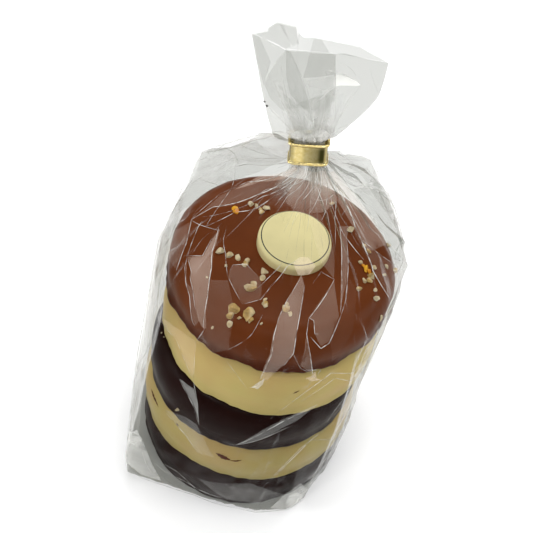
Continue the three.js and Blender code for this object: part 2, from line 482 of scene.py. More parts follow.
class StackSettings(bpy.types.PropertyGroup):
    """The glazed lebkuchen."""

    milk: colour_setting("Milk glaze", "Colour of the milk chocolate", (0.172, 0.044, 0.012))
    white: colour_setting("White glaze", "Colour of the white chocolate", (0.72, 0.575, 0.215))
    dark: colour_setting("Dark glaze", "Colour of the dark chocolate", (0.019, 0.006, 0.005))
    gloss: number_setting("Glaze roughness", "Roughness of the glaze", 0.3, 0.05, 1.0)
    unevenness: number_setting("Unevenness", "How far the glaze wanders from round, in mm", 0.7, 0.0, 2.0)


class MedallionSettings(bpy.types.PropertyGroup):
    """The white chocolate medallion on the top biscuit."""

    radius: number_setting("Radius", "Radius in mm", 12.8, 5.0, 20.0)
    thickness: number_setting("Thickness", "Thickness in mm", 3.6, 1.0, 6.0)
    ring_radius: number_setting("Ring radius", "Radius of the ring line in mm", 11.7, 4.0, 19.0)
    ring_width: number_setting("Ring width", "Width of the ring line in mm", 0.35, 0.1, 2.0)
    colour: colour_setting("Colour", "Colour of the medallion", (0.97, 0.86, 0.46))


class ToppingSettings(bpy.types.PropertyGroup):
    """Chopped nuts and candied orange."""

    nut_light: colour_setting("Nut flesh", "Colour of the nuts inside", (0.88, 0.74, 0.48))
    nut_dark: colour_setting("Nut skin", "Colour of the nuts' skin", (0.66, 0.42, 0.13))
    orange: colour_setting("Orange", "Colour of the candied orange", (0.95, 0.48, 0.01))
    seed: IntProperty(name="Seed", description="Seed of the pieces' shapes", default=4)


class FilmSettings(bpy.types.PropertyGroup):
    """The clear bag."""

    tint: colour_setting("Tint", "Share of light that one layer passes", (0.765, 0.768, 0.752))
    haze: number_setting("Haze", "Share of light that the film scatters head on", 0.0, 0.0, 1.0)
    shine: number_setting("Shine", "Share of light that the film mirrors head on", 0.0, 0.0, 1.0)
    # Painted reflections: the strength of those on the film's facets, and the paleness of the one on the
    # film gathered in the neck.
    painted_reflection: number_setting("Facets", "Strength of the pale facets", 0.8, 0.0, 2.0)
    bundle: number_setting("Neck", "Paleness of one layer of the film in the neck", 0.22, 0.0, 1.0)
    crumple: number_setting("Crumple", "How far small creases stand out, in mm", 0.5, 0.0, 2.0)
    pleat: number_setting("Pleat depth", "Depth of the gathered pleats, in mm", 1.5, 0.0, 6.0)
    seed: IntProperty(name="Seed", description="Seed of the creases", default=11)


class StageSettings(bpy.types.PropertyGroup):
    """Floor and light."""

    floor: colour_setting("Floor", "Colour of the floor", (0.97, 0.97, 0.97))
    strength: number_setting("Light", "Strength of all lights", 1.0, 0.0, 5.0)


# ------------------------------------------------------------------------------------------ the biscuits

# The gap between a biscuit's top and the next one, where its side turns into its round top edge, below
# which height its glaze has spread, and below which it is darkened by painted shade towards the foot.
TOP_GAP = 0.1
SIDE_HEIGHT = 9.0
SIDE_INSET = 0.2
SPREAD_HEIGHT = 5.0
FOOT_SHADE_HEIGHT = 9.0
SPIN_STEPS = 240

# The milk glaze is more uneven than the others, and its foot has spread further and has deeper painted
# shade. The other glazes' feet, with their painted shade, and the cloudy patches of all, are a share of
# their own colour.
MILK_UNEVENNESS = 1.4
MILK_SPREAD = 1.8
MILK_FOOT_SHADE = (0.07, 0.012, 0.003)
FOOT_SHADE_SHARE = 0.88
PATCH_SHARES = {"milk": (0.86, 0.86, 0.86), "white": (1.02, 0.9, 0.95), "dark": (0.86, 0.86, 0.86)}


def biscuit_outline(radius, edge_round, dome):
    """Half of a glazed biscuit's section: flat foot, spread rim, bulging side, round edge, low dome."""
    highest = BISCUIT_THICKNESS - TOP_GAP
    foot = [(0.0, 0.3), (radius * 0.5, 0.25), (radius - 3.0, 0.2)]
    rim = arc((radius - 1.6, 1.7), 1.5, -90, 20, 4)
    side = [(radius - 0.5, 4.0), (radius - SIDE_INSET, 7.0)]
    rise = highest - dome - SIDE_HEIGHT
    shoulder = []
    for step in range(16):
        angle = math.radians(lerp(6, 84, step / 15))
        inset = edge_round * (1 - math.cos(angle))
        shoulder.append((radius - SIDE_INSET - inset, SIDE_HEIGHT + rise * math.sin(angle)))
    top = [
        (reach, highest - dome * (reach / (radius - edge_round)) ** 2)
        for reach in np.linspace(radius - edge_round - 1.5, 0.0, 14)
    ]
    return foot + rim + side + shoulder + top


def roughen(piece, seed, amount, foot_below, spread):
    """Lets the outline wander widely and finely, the foot of the glaze spread in drips, and the top rise
    and fall a little. Each biscuit takes its noise from another place, away from the others'."""
    away = Vector((seed * 7.3, seed * 3.1, seed * 5.7))

    def wander(out, scale, height, shift):
        return noise.noise(Vector((out.x * scale, out.y * scale, height)) + away * shift)

    for vertex in piece.data.vertices:
        place = vertex.co / MM
        reach = math.hypot(place.x, place.y)
        if reach < 1.0:
            continue
        out = Vector((place.x, place.y, 0)) / reach
        wide, fine = wander(out, 1.6, place.z * 0.02, 1), wander(out, 7.0, place.z * 0.09, 2)
        foot = max(0.0, 1 - place.z / foot_below)
        drip = wander(out, 4.5, 0.0, 3) + 0.4 * wander(out, 15.0, 0.0, 4)
        share = smoothstep(reach, 10.0, 38.0)
        push = amount * (1.2 * wide + 0.35 * fine) * share + spread * foot * drip
        lift = 0.35 * noise.noise(place * 0.06 + away) * smoothstep(place.z, 12.0, 20.0)
        vertex.co += (out * push + Vector((0, 0, lift))) * MM


def make_biscuit(index, biscuit, settings):
    glaze = biscuit["glaze"]
    milk = glaze == "milk"
    outline = biscuit_outline(biscuit["radius"], biscuit["edge"], biscuit["dome"])
    piece = spun_piece(f"lebkuchen_{index + 1}_{glaze}", outline, SPIN_STEPS)
    unevenness = settings.unevenness * (MILK_UNEVENNESS if milk else 1.0)
    roughen(piece, index + 1, unevenness, SPREAD_HEIGHT, MILK_SPREAD if milk else 1.0)
    heights = [vertex.co.z / MM for vertex in piece.data.vertices]
    # The foot attribute holds the painted shade towards the biscuit's bottom.
    set_attribute(piece, "foot", [1 - smoothstep(height, 0.5, FOOT_SHADE_HEIGHT) for height in heights])
    lift = index * BISCUIT_THICKNESS
    piece.data.transform(Matrix.Translation(Vector((biscuit["right"], biscuit["back"], lift)) * MM))
    # Painted shade: the glaze colour is darkened by the biscuit's shade factor.
    colour = Vector(getattr(settings, glaze)) * biscuit["shade"]
    deeper = [channel * share for channel, share in zip(colour, PATCH_SHARES[glaze])]
    foot = MILK_FOOT_SHADE if milk else colour * FOOT_SHADE_SHARE
    material = glaze_material(f"{glaze}_glaze_{index + 1}", colour, deeper, foot, settings.gloss)
    finish_piece(piece, material)


class LEBKUCHEN_OT_biscuits(bpy.types.Operator):
    """Make the five glazed lebkuchen"""

    bl_idname = "lebkuchen.biscuits"
    bl_label = "Biscuits"

    def execute(self, context):
        for index, biscuit in enumerate(BISCUITS):
            make_biscuit(index, biscuit, scene_settings("lebkuchen_stack"))
        return {"FINISHED"}


# ----------------------------------------------------------------------------------------- the medallion

# The medallion's place on the top biscuit, how far its lowest point lies below its middle, and how far it
# stands out of the glaze. It has sunk deeper at its front, so its face tips that way by a few degrees.
MEDALLION_RIGHT = 3.4
MEDALLION_BACK = 2.1
MEDALLION_LOWEST = -2.1
MEDALLION_LIFT = 0.9
MEDALLION_TILT = 4.0


def top_surface(x, y):
    """Height of the top biscuit's glaze at a place."""
    top = BISCUITS[-1]
    reach = math.hypot(x - top["right"], y - top["back"])
    flat = top["radius"] - top["edge"]
    if reach <= flat:
        return STACK_HEIGHT - TOP_GAP - top["dome"] * (reach / flat) ** 2
    level = min(1.0, max(0.0, (reach - flat + SIDE_INSET) / top["edge"]))
    rise = BISCUIT_THICKNESS - TOP_GAP - top["dome"] - SIDE_HEIGHT
    return STACK_HEIGHT - BISCUIT_THICKNESS + SIDE_HEIGHT + rise * math.sqrt(1 - level**2)


def medallion_middle():
    height = top_surface(MEDALLION_RIGHT, MEDALLION_BACK) + MEDALLION_LIFT
    return Vector((MEDALLION_RIGHT, MEDALLION_BACK, height))


class LEBKUCHEN_OT_medallion(bpy.types.Operator):
    """Make the white chocolate medallion"""

    bl_idname = "lebkuchen.medallion"
    bl_label = "Medallion"

    def execute(self, context):
        settings = scene_settings("lebkuchen_medallion")
        radius, thickness = settings.radius, settings.thickness
        low_round, high_round = 1.2, 1.7
        outline = [(0.0, MEDALLION_LOWEST)]
        outline += arc((radius - low_round, MEDALLION_LOWEST + low_round), low_round, -90, 0, 4)
        outline += arc((radius - high_round, thickness - high_round), high_round, 0, 84, 8)
        outline += [(radius - 2.2, thickness), (radius * 0.5, thickness), (0.0, thickness)]
        piece = spun_piece("medallion", outline, 96)
        piece.data.transform(Matrix.Rotation(math.radians(MEDALLION_TILT), 4, "X"))
        piece.data.transform(Matrix.Translation(medallion_middle() * MM))
        finish_piece(piece, medallion_material(settings))
        select_only(piece)
        bpy.ops.object.shade_smooth_by_angle(angle=math.radians(50))
        return {"FINISHED"}


# ------------------------------------------------------------------------------------------ the toppings

# Where the chopped nuts lie in the picture, in its pixels, and how long each is in millimetres. The
# last is stuck to the side of a lower biscuit.
NUTS_IN_PICTURE = [
    (266, 209, 3.4), (262, 213, 2.4), (251, 205, 3.0), (256, 206, 2.0), (220, 252, 3.0), (230, 256, 2.6),
    (238, 258, 2.6), (247, 261, 2.2), (244, 266, 2.2), (226, 266, 1.6), (264, 272, 3.4), (262, 278, 2.4),
    (254, 284, 2.8), (265, 300, 1.8), (266, 306, 2.0), (239, 318, 1.8), (230, 324, 2.4), (287, 304, 1.8),
    (290, 314, 2.2), (350, 231, 3.4), (364, 246, 2.2), (387, 245, 2.6), (374, 268, 2.2), (386, 267, 2.0),
    (394, 270, 2.8), (364, 281, 2.2), (359, 289, 2.0), (375, 290, 1.8), (376, 299, 2.6), (380, 318, 2.2),
    (332, 204, 2.2), (361, 263, 2.0), (384, 275, 1.6), (213, 327, 1.0), (207, 278, 1.2), (261, 324, 1.0),
    (212, 328, 0.9), (262, 323, 0.9), (161.5, 333, 0.8), (164, 337, 0.6), (178, 409, 2.0),
]
FLAKES_IN_PICTURE = [
    (233, 309, 5.2), (231, 315, 3.2), (249, 314, 5.0), (250, 320, 2.8), (246, 263, 2.8), (251, 289, 4.6),
    (265, 304, 2.6), (286, 308, 3.0), (371, 277, 3.2), (369, 281, 2.6), (368, 251, 2.6), (261, 210, 2.6),
]
ORANGE_IN_PICTURE = [(236, 211, 3.4), (234, 209, 2.8), (366, 269, 3.0), (369, 272, 2.6), (363, 266, 2.2)]

# How flat each kind of chip is, and the shares of brown skin that the nuts have. Flakes are all skin.
NUT_FLATNESS = (0.6, 0.9)
NUT_SKINS = (0.0, 0.15, 0.4, 0.7)
FLAKE_FLATNESS = 0.45
ORANGE_FLATNESS = 0.55

# Slits in the white glaze through which the brown shows: width in millimetres, and pixels.
SLITS_IN_PICTURE = [
    (1.15, [(216, 453), (223, 457), (230.5, 460)]),
    (0.4, [(230, 460.5), (236, 461), (242, 460)]),
    (0.5, [(151.5, 389), (154, 397), (158.5, 407)]),
    (0.3, [(293, 393.5), (299.5, 390.5)]),
    (0.4, [(176.5, 423), (178.5, 426)]),
]


def camera_turn():
    """The camera's rotation: it looks along +Y, down by its elevation, and is rolled about its view."""
    down, roll = math.radians(CAMERA_DOWN), math.radians(CAMERA_ROLL)
    return Matrix.Rotation(math.pi / 2 - down, 3, "X") @ Matrix.Rotation(roll, 3, "Z")


def under_pixel(pixel_x, pixel_y, height):
    """The place in millimetres, at a height, that shows at a pixel of the picture."""
    half = PICTURE_PIXELS / 2
    ray = camera_turn() @ Vector(((pixel_x - half) / FOCAL_PIXELS, (half - pixel_y) / FOCAL_PIXELS, -1.0))
    start = Vector(CAMERA_PLACE)
    return start + ray * ((height - start.z) / ray.z)


def camera_ray(pixel_x, pixel_y):
    """The camera's place, and the direction in which it sees a pixel of the picture."""
    start = Vector(CAMERA_PLACE)
    return start, (under_pixel(pixel_x, pixel_y, 0.0) - start).normalized()


def biscuit_trees():
    """The biscuits' surfaces, to look up what shows at a pixel."""
    graph = bpy.context.evaluated_depsgraph_get()
    pieces = [piece for piece in bpy.context.scene.objects if piece.name.startswith("lebkuchen_")]
    return [BVHTree.FromObject(piece, graph) for piece in pieces]


def on_glaze(trees, pixel_x, pixel_y):
    """The place and the outward direction of the glaze that shows at a pixel."""
    start, ray = camera_ray(pixel_x, pixel_y)
    hits = [tree.ray_cast(start * MM, ray) for tree in trees]
    nearest = min((hit for hit in hits if hit[0] is not None), key=lambda hit: hit[3])
    return nearest[0] / MM, nearest[1]


def chopped_piece(draw, length, flatness, skin):
    """One angular chip: a rough ball with flat cuts and a few hollows, part of it under brown skin."""
    bpy.ops.mesh.primitive_ico_sphere_add(subdivisions=3, radius=0.5 * length * MM)
    chip = bpy.context.active_object
    away = Vector((draw.uniform(0, 50), draw.uniform(0, 50), draw.uniform(0, 50)))
    cuts = [Vector((draw.gauss(0, 1), draw.gauss(0, 1), draw.gauss(0, 1))).normalized() for _ in range(9)]
    depth = [draw.uniform(0.22, 0.42) * length * MM for _ in cuts]
    skin_side = Vector((draw.gauss(0, 1), draw.gauss(0, 1), 0.6)).normalized()
    bare = 0.45 if skin == 1.0 else 0.0
    skins = []
    for vertex in chip.data.vertices:
        out = vertex.co.normalized()
        hollow = noise.noise(out * 2.2 + away) * 0.22 + noise.noise(out * 6.0 + away) * 0.08
        vertex.co *= 1 + hollow
        for cut, limit in zip(cuts, depth):
            over = vertex.co.dot(cut) - limit
            if over > 0:
                vertex.co -= cut * over
        skins.append(lerp(bare, skin, smoothstep(out.dot(skin_side) + 0.5 * hollow, -0.1, 0.5)))
    set_attribute(chip, "skin", skins)
    stretch = (draw.uniform(0.85, 1.2), draw.uniform(0.65, 1.0), flatness * draw.uniform(0.8, 1.2))
    chip.data.transform(Matrix.Diagonal((*stretch, 1)))
    turn = Matrix.Rotation(draw.uniform(0, 2 * math.pi), 4, "Z")
    tip = Matrix.Rotation(draw.uniform(-0.6, 0.6), 4, "X")
    chip.data.transform(turn @ tip)
    return chip


def joined_piece(name, chips):
    deselect_all()
    for chip in chips:
        chip.select_set(True)
    bpy.context.view_layer.objects.active = chips[0]
    bpy.ops.object.join()
    chips[0].name = name
    chips[0].data.name = name
    return chips[0]


def scatter(name, trees, spots, draw):
    """Chips joined into one piece, each from its spot, flatness and share of skin."""
    chips = []
    for (pixel_x, pixel_y, length), flatness, skin in spots:
        deselect_all()
        chip = chopped_piece(draw, length, flatness, skin)
        place, out = on_glaze(trees, pixel_x, pixel_y)
        chip.data.transform(Vector((0, 0, 1)).rotation_difference(out).to_matrix().to_4x4())
        chip.data.transform(Matrix.Translation((place + out * 0.2 * length * flatness) * MM))
        chips.append(chip)
    return joined_piece(name, chips)


def slit_strips(name, trees, slits):
    """Narrow pointed strips laid on the glaze."""
    points, faces = [], []
    for width, pixels in slits:
        path = [Vector(pixel) for pixel in pixels]
        path = [*cut_path(path, lambda length: 6), path[-1]]
        faces += grid_faces(len(path), 3, first=len(points))
        for step, spot in enumerate(path):
            ahead = path[min(step + 1, len(path) - 1)] - path[max(step - 1, 0)]
            side = Vector((-ahead.y, ahead.x)).normalized()
            half = 1.6 * width * math.sin(math.pi * (0.04 + 0.92 * step / (len(path) - 1)))
            half *= 1 + 0.35 * math.sin(2.3 * step + 7 * width)
            for edge in (-half, 0.0, half):
                place, out = on_glaze(trees, *(spot + side * edge))
                points.append(place + out * (0.06 if edge else 0.12))
    return new_piece(name, points, [], faces)


class LEBKUCHEN_OT_toppings(bpy.types.Operator):
    """Scatter the chopped nuts and the candied orange, and lay the slits in the glaze"""

    bl_idname = "lebkuchen.toppings"
    bl_label = "Nuts and Orange"

    def execute(self, context):
        settings = scene_settings("lebkuchen_toppings")
        draw = random.Random(settings.seed)
        trees = biscuit_trees()
        spots = [
            (spot, draw.uniform(*NUT_FLATNESS), draw.choice(NUT_SKINS)) for spot in NUTS_IN_PICTURE
        ]
        spots += [(spot, FLAKE_FLATNESS, 1.0) for spot in FLAKES_IN_PICTURE]
        nuts = scatter("chopped_nuts", trees, spots, draw)
        finish_piece(nuts, nut_material(settings), smooth=False)
        spots = [(spot, ORANGE_FLATNESS, 0.0) for spot in ORANGE_IN_PICTURE]
        orange = scatter("candied_orange", trees, spots, draw)
        wet = grain_material("candied_orange", settings.orange, (0.75, 0.24, 0.01), 500.0, 0.3)
        finish_piece(orange, wet, smooth=False)
        slits = slit_strips("glaze_slits", trees, SLITS_IN_PICTURE)
        brown = grain_material("slit_brown", (0.13, 0.028, 0.004), (0.06, 0.012, 0.002), 900.0, 0.8)
        finish_piece(slits, brown)
        return {"FINISHED"}


# ---------------------------------------------------------------------------------------------- the film

# How far the film's plan runs in under the foot, and how often each of its facets is cut finer.
FOOT_FOLD = 46.0
CREASE_CUTS = 3

# Between these heights the film turns from wall to shoulder. There it is lifted outwards and upwards alike.
WALL_TOP = RIM_HEIGHT - 4
SHOULDER_FOOT = RIM_HEIGHT + 10
SHOULDER_SLANT = 0.7

# An outline is an oval at a squareness of 2, and nearer to a rectangle above that.
NECK_SQUARENESS = 2
BAND_SQUARENESS = 5.5

# Heights of the bag's crossing folds: under its foot, given below 0, on its walls and on its shoulders.
BAG_LEVELS = [
    -FOOT_FOLD, -30.0, -14.0, 0.0,
    3.0, 10.0, 19.0, 29.0, 40.0, 52.0, 64.0, 76.0, 87.0, 97.0, RIM_HEIGHT,
    111.0, 116.0, 121.0, 127.0, 132.0, 137.0, 142.0, 146.0, NECK_BOTTOM + 1.5,
]


def rounded_reach(azimuth, half_width, half_depth, squareness):
    angle = math.radians(azimuth)
    across = abs(math.cos(angle) / half_width) ** squareness
    along = abs(math.sin(angle) / half_depth) ** squareness
    return (across + along) ** (-1 / squareness)


def fold_reach(index, height):
    """The reach at a height on a main fold, which runs straight from bend to bend."""
    azimuth, bends = FOLDS[index % len(FOLDS)]
    neck = rounded_reach(azimuth, NECK_HALF_WIDTH, NECK_HALF_DEPTH, NECK_SQUARENESS)
    return table_value(height, [*bends, (NECK_BOTTOM, neck)])


def stretched_reach(azimuth, height):
    """The film is stretched flat between two folds."""
    azimuth = azimuth % 360
    after = next((i for i, fold in enumerate(FOLDS) if fold[0] > azimuth), 0)
    before = (after - 1) % len(FOLDS)
    from_last = math.radians((azimuth - FOLDS[before][0]) % 360)
    to_next = math.radians((FOLDS[after][0] - azimuth) % 360)
    near, far = fold_reach(before, height), fold_reach(after, height)
    span = math.sin(from_last + to_next)
    return near * far * span / (near * math.sin(from_last) + far * math.sin(to_next))


def stack_reach(azimuth, height):
    """How far the biscuits hold the film out. Above the stack's rim that soon falls away."""
    place = min(len(BISCUITS) - 1.0, max(0.0, height / BISCUIT_THICKNESS - 0.5))
    angle = math.radians(azimuth)

    def edge(biscuit):
        lean = biscuit["right"] * math.cos(angle) + biscuit["back"] * math.sin(angle)
        return biscuit["radius"] + lean

    low, high = BISCUITS[math.floor(place)], BISCUITS[math.ceil(place)]
    above_rim = max(0.0, height - RIM_HEIGHT)
    return FILM_SLACK + lerp(edge(low), edge(high), place % 1) - 0.25 * above_rim**2


def film_reach(azimuth, height):
    """How far the smooth bag reaches, without its small creases."""
    return max(stretched_reach(azimuth, height), stack_reach(azimuth, height) + 0.2)


def neck_shift(height):
    """The bag's middle moves over to the neck's as it rises."""
    share = smoothstep(height, RIM_HEIGHT, NECK_BOTTOM)
    return Vector((share * NECK_MIDDLE.x, share * NECK_MIDDLE.y, 0))


def off_film(out, height):
    """The direction off the film: straight out on the walls, and half upwards on the shoulders."""
    slanted = Vector((out.x * SHOULDER_SLANT, out.y * SHOULDER_SLANT, SHOULDER_SLANT))
    return out.lerp(slanted, smoothstep(height, WALL_TOP, SHOULDER_FOOT))


def leaned(place):
    """From the neck's own frame, with its origin in the band's middle, to its leaning place."""
    turn = Matrix.Rotation(math.radians(NECK_TURN), 3, "Z")
    lean = Matrix.Rotation(math.radians(-NECK_LEAN), 3, "Y")
    return lean @ turn @ place + NECK_MIDDLE


def film_lines(draw):
    """The bag's ridges and valleys in turn: each main fold, and pleats between it and the next, more of
    them on the front. Towards the neck the ridges slide one way and the valleys the other, and overlap."""
    lines = []
    for index, (azimuth, _) in enumerate(FOLDS):
        gap = (FOLDS[(index + 1) % len(FOLDS)][0] - azimuth) % 360
        between = 1 if gap < 14 or 20 < azimuth < 160 else 3 if gap < 30 else 5
        for step in range(between + 1):
            ridge = step % 2 == 0
            wander = draw.uniform(-0.2, 0.2) if step else 0.0
            slide = draw.uniform(1.5, 5.5) * (1 if ridge else -1) * (0.4 if 200 < azimuth < 340 else 1.0)
            place = azimuth + gap * (step + wander) / (between + 1)
            lines.append({"azimuth": place, "ridge": ridge, "slide": slide, "depth": draw.uniform(0.5, 1.2)})
    return lines


def line_place(line, height, pleat):
    """Where a ridge or valley of the bag lies at a height, in millimetres."""
    gather = smoothstep(height, SHOULDER_FOOT, NECK_BOTTOM - 2)
    reach = film_reach(line["azimuth"], height)
    if not line["ridge"]:
        depth = 0.2 + pleat * line["depth"] * smoothstep(height, RIM_HEIGHT, RIM_HEIGHT + 22)
        reach = max(reach - min(depth, 0.4 * reach), stack_reach(line["azimuth"], height))
    return polar(line["azimuth"] + line["slide"] * gather, reach, height) + neck_shift(height)


def body_place(lines, across, height, offset, pleat):
    """A point of the bag: straight across from line to line, and pushed off that by the offset."""
    under = 1.0
    if height < 0:
        under = max(0.0, 1 + height / FOOT_FOLD)
        height = 0.0
    index = math.floor(across)
    start = line_place(lines[index % len(lines)], height, pleat)
    end = line_place(lines[(index + 1) % len(lines)], height, pleat)
    place = start.lerp(end, across - index)
    out = Vector((place.x, place.y, 0))
    if out.length > 1e-6:
        out.normalize()
    place += off_film(out, height) * offset * under
    if under < 1.0:
        place = Vector((place.x * under, place.y * under, 0.15 + 0.25 * abs(offset)))
    place.z = max(place.z, 0.05)
    return place.lerp(leaned(place - NECK_MIDDLE), smoothstep(height, NECK_BOTTOM - 6, NECK_BOTTOM))


def on_film(pixel_x, pixel_y):
    """The azimuth and height at which the bag's film shows at a pixel of the picture. Where the pixel
    just misses the film, the nearest place on it is taken."""
    start, ray = camera_ray(pixel_x, pixel_y)
    best = None
    distance = (start.z - NECK_BOTTOM) / -ray.z
    while True:
        place = start + ray * distance
        if place.z <= 0.2:
            return best[1:]
        out = place - neck_shift(place.z)
        azimuth = math.degrees(math.atan2(out.y, out.x)) % 360
        gap = math.hypot(out.x, out.y) - film_reach(azimuth, place.z)
        if best is None or gap < best[0]:
            best = (gap, azimuth, place.z)
        if gap <= 0:
            return azimuth, place.z
        distance += max(0.15, 0.4 * gap)


def lifted_film(azimuth, height, lift):
    """A place a little off the smooth bag."""
    push = off_film(polar(azimuth, 1.0), height)
    return polar(azimuth, film_reach(azimuth, height), height) + neck_shift(height) + push * lift


def creased_sheet(name, columns, levels, draw, jitter, depth_at, place_at, squeeze):
    """A sheet of crisp facets. Its plan is a wall columns wide, with nodes at each column and level and
    more between, joined into triangles that are then cut finer and wrapped to their places."""
    nodes, seam = [], {}
    for column in range(columns + 1):
        for row, level in enumerate(levels):
            fixed = row in (0, len(levels) - 1)
            if column == columns:
                wander, depth = seam[row]
            else:
                wander = 0.0 if fixed else draw.uniform(-jitter, jitter)
                depth = draw.gauss(0, 1) * depth_at(level)
            if column == 0:
                seam[row] = (wander, depth)
            nodes.append((float(column), level + wander, depth))
    edges = []
    for column in range(columns + 1):
        first = column * len(levels)
        edges += [(first + row, first + row + 1) for row in range(len(levels) - 1)]
    for column in range(columns):
        for low, high in zip(levels, levels[1:]):
            level = lerp(low, high, draw.uniform(0.25, 0.75))
            nodes.append((column + draw.uniform(0.3, 0.7), level, draw.gauss(0, 1.3) * depth_at(level)))
    flat = [Vector((node[0] * squeeze, node[1])) for node in nodes]
    _, _, faces, kept, _, _ = geometry.delaunay_2d_cdt(flat, edges, [], 0, 1e-6, True)
    piece = new_piece(name, [nodes[ids[0]] for ids in kept], [], [list(face) for face in faces])
    with all_in_edit_mode(piece):
        bpy.ops.mesh.subdivide(number_cuts=CREASE_CUTS, smoothness=0)
    for vertex in piece.data.vertices:
        across, level, depth = vertex.co / MM
        vertex.co = place_at(across, level, depth) * MM
    merge_and_turn_out(piece, 2e-6)
    return piece


class LEBKUCHEN_OT_bag(bpy.types.Operator):
    """Make the film of the bag up to the band"""

    bl_idname = "lebkuchen.bag"
    bl_label = "Bag"

    def execute(self, context):
        settings = scene_settings("lebkuchen_film")
        draw = random.Random(settings.seed)
        lines = film_lines(draw)

        def depth_at(level):
            if level <= 0 or level > NECK_BOTTOM - 3:
                return 0.1
            return settings.crumple * lerp(0.35, 0.75, smoothstep(level, 60, RIM_HEIGHT + 12))

        def place_at(across, level, depth):
            return body_place(lines, across, level, depth, settings.pleat)

        piece = creased_sheet("film_bag", len(lines), BAG_LEVELS, draw, 2.0, depth_at, place_at, 5.0)
        finish_piece(piece, film_material("clear_film", settings))
        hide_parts("bag")
        return {"FINISHED"}


# ------------------------------------------------------------------------------ creases and facets with painted reflections

# Sharp creases of the film, by their pixels in the picture. Each starts with its width in millimetres.
SHOULDER_CREASES = [
    (0.3, [(201, 151), (224, 157), (250, 159)]),
    (0.3, [(201, 151), (191, 168), (199, 181)]),
    (0.25, [(224, 157), (238, 175)]),
    (0.5, [(193, 221), (215, 208), (260, 195), (299, 168)]),
    (0.35, [(193, 221), (222, 195), (249, 183), (296, 166)]),
    (0.4, [(204, 218), (264, 197), (300, 173)]),
    (0.35, [(278, 201), (300, 175)]),
    (0.4, [(193, 221), (188, 244), (184, 254), (178, 271)]),
    (0.35, [(204, 222), (194, 242), (189, 256)]),
    (0.25, [(193, 221), (221, 231)]),
    (0.35, [(189, 258), (186, 268), (187, 282), (191, 296), (197, 325)]),
    (0.25, [(189, 259), (193, 272), (194, 289), (197, 308), (201, 316)]),
    (0.45, [(221, 226), (217, 242), (213, 268), (209, 296), (206, 328)]),
    (0.3, [(189, 256), (204, 256), (217, 234)]),
    (0.3, [(206, 328), (197, 341)]),
    (0.3, [(229, 226), (227, 254), (229, 276), (243, 304)]),
    (0.25, [(229, 275), (234, 265), (247, 264), (258, 275)]),
    (0.35, [(243, 304), (261, 299), (271, 286), (287, 266), (299, 258)]),
    (0.35, [(258, 288), (268, 278), (282, 263)]),
    (0.2, [(229, 348), (253, 332), (263, 314)]),
    (0.25, [(166, 255), (187, 243)]),
    (0.4, [(299, 279), (287, 299), (279, 316), (274, 334), (272, 352), (262, 374), (258, 384)]),
    (0.45, [(304, 285), (300, 310), (296, 333), (293, 352), (283, 364)]),
    (0.3, [(293, 352), (300, 366), (307, 370)]),
    (0.35, [(338, 226), (340, 271), (339, 312)]),
    (0.3, [(344, 234), (346, 276), (339, 316)]),
    (0.4, [(333, 279), (308, 318)]),
    (0.25, [(333, 279), (320, 271), (312, 283)]),
    (0.4, [(308, 317), (313, 320), (314, 333), (318, 333)]),
    (0.4, [(308, 318), (306, 333), (310, 356), (313, 378)]),
    (0.5, [(310, 336), (320, 347), (328, 342), (339, 316)]),
    (0.4, [(306, 368), (320, 368), (313, 378)]),
    (0.35, [(337, 226), (362, 260)]),
    (0.8, [(326, 172), (353, 227), (371, 271), (388, 299)]),
    (0.35, [(353, 233), (393, 265), (404, 273)]),
    (0.5, [(333, 172), (364, 209), (388, 247), (406, 266)]),
    (0.3, [(327, 170), (334, 196), (333, 218), (333, 250)]),
    (0.35, [(323, 170), (325, 201), (320, 220)]),
    (0.35, [(318, 169), (309, 212)]),
    (0.4, [(316, 168), (301, 201), (292, 224)]),
    (0.35, [(312, 168), (290, 186), (276, 206)]),
    (0.3, [(320, 170), (317, 190), (326, 214), (330, 240)]),
    (0.25, [(352, 188), (364, 185), (372, 177)]),
    (0.25, [(364, 185), (370, 191), (386, 192)]),
    (0.25, [(312, 199), (327, 199), (336, 190)]),
    (0.4, [(201, 151), (226, 142), (250, 136), (270, 133.5)]),
    (0.45, [(328, 147), (352, 155), (372, 160), (384, 190), (397, 226), (406, 268)]),
    (0.5, [(201, 151), (183, 186), (163, 228)]),
    (0.2, [(300, 168), (270, 176), (236, 190)]),
    (0.2, [(302, 170), (268, 190), (232, 206)]),
    (0.2, [(304, 172), (276, 196), (250, 214)]),
    (0.22, [(308, 172), (288, 196), (270, 222)]),
    (0.2, [(311, 172), (297, 200), (284, 232)]),
    (0.22, [(316, 172), (310, 200), (306, 232)]),
    (0.2, [(322, 172), (330, 206), (344, 240)]),
    (0.2, [(325, 171), (344, 206), (362, 236)]),
    (0.2, [(328, 170), (352, 198), (376, 226)]),
    (0.2, [(330, 170), (352, 186), (378, 204)]),
]
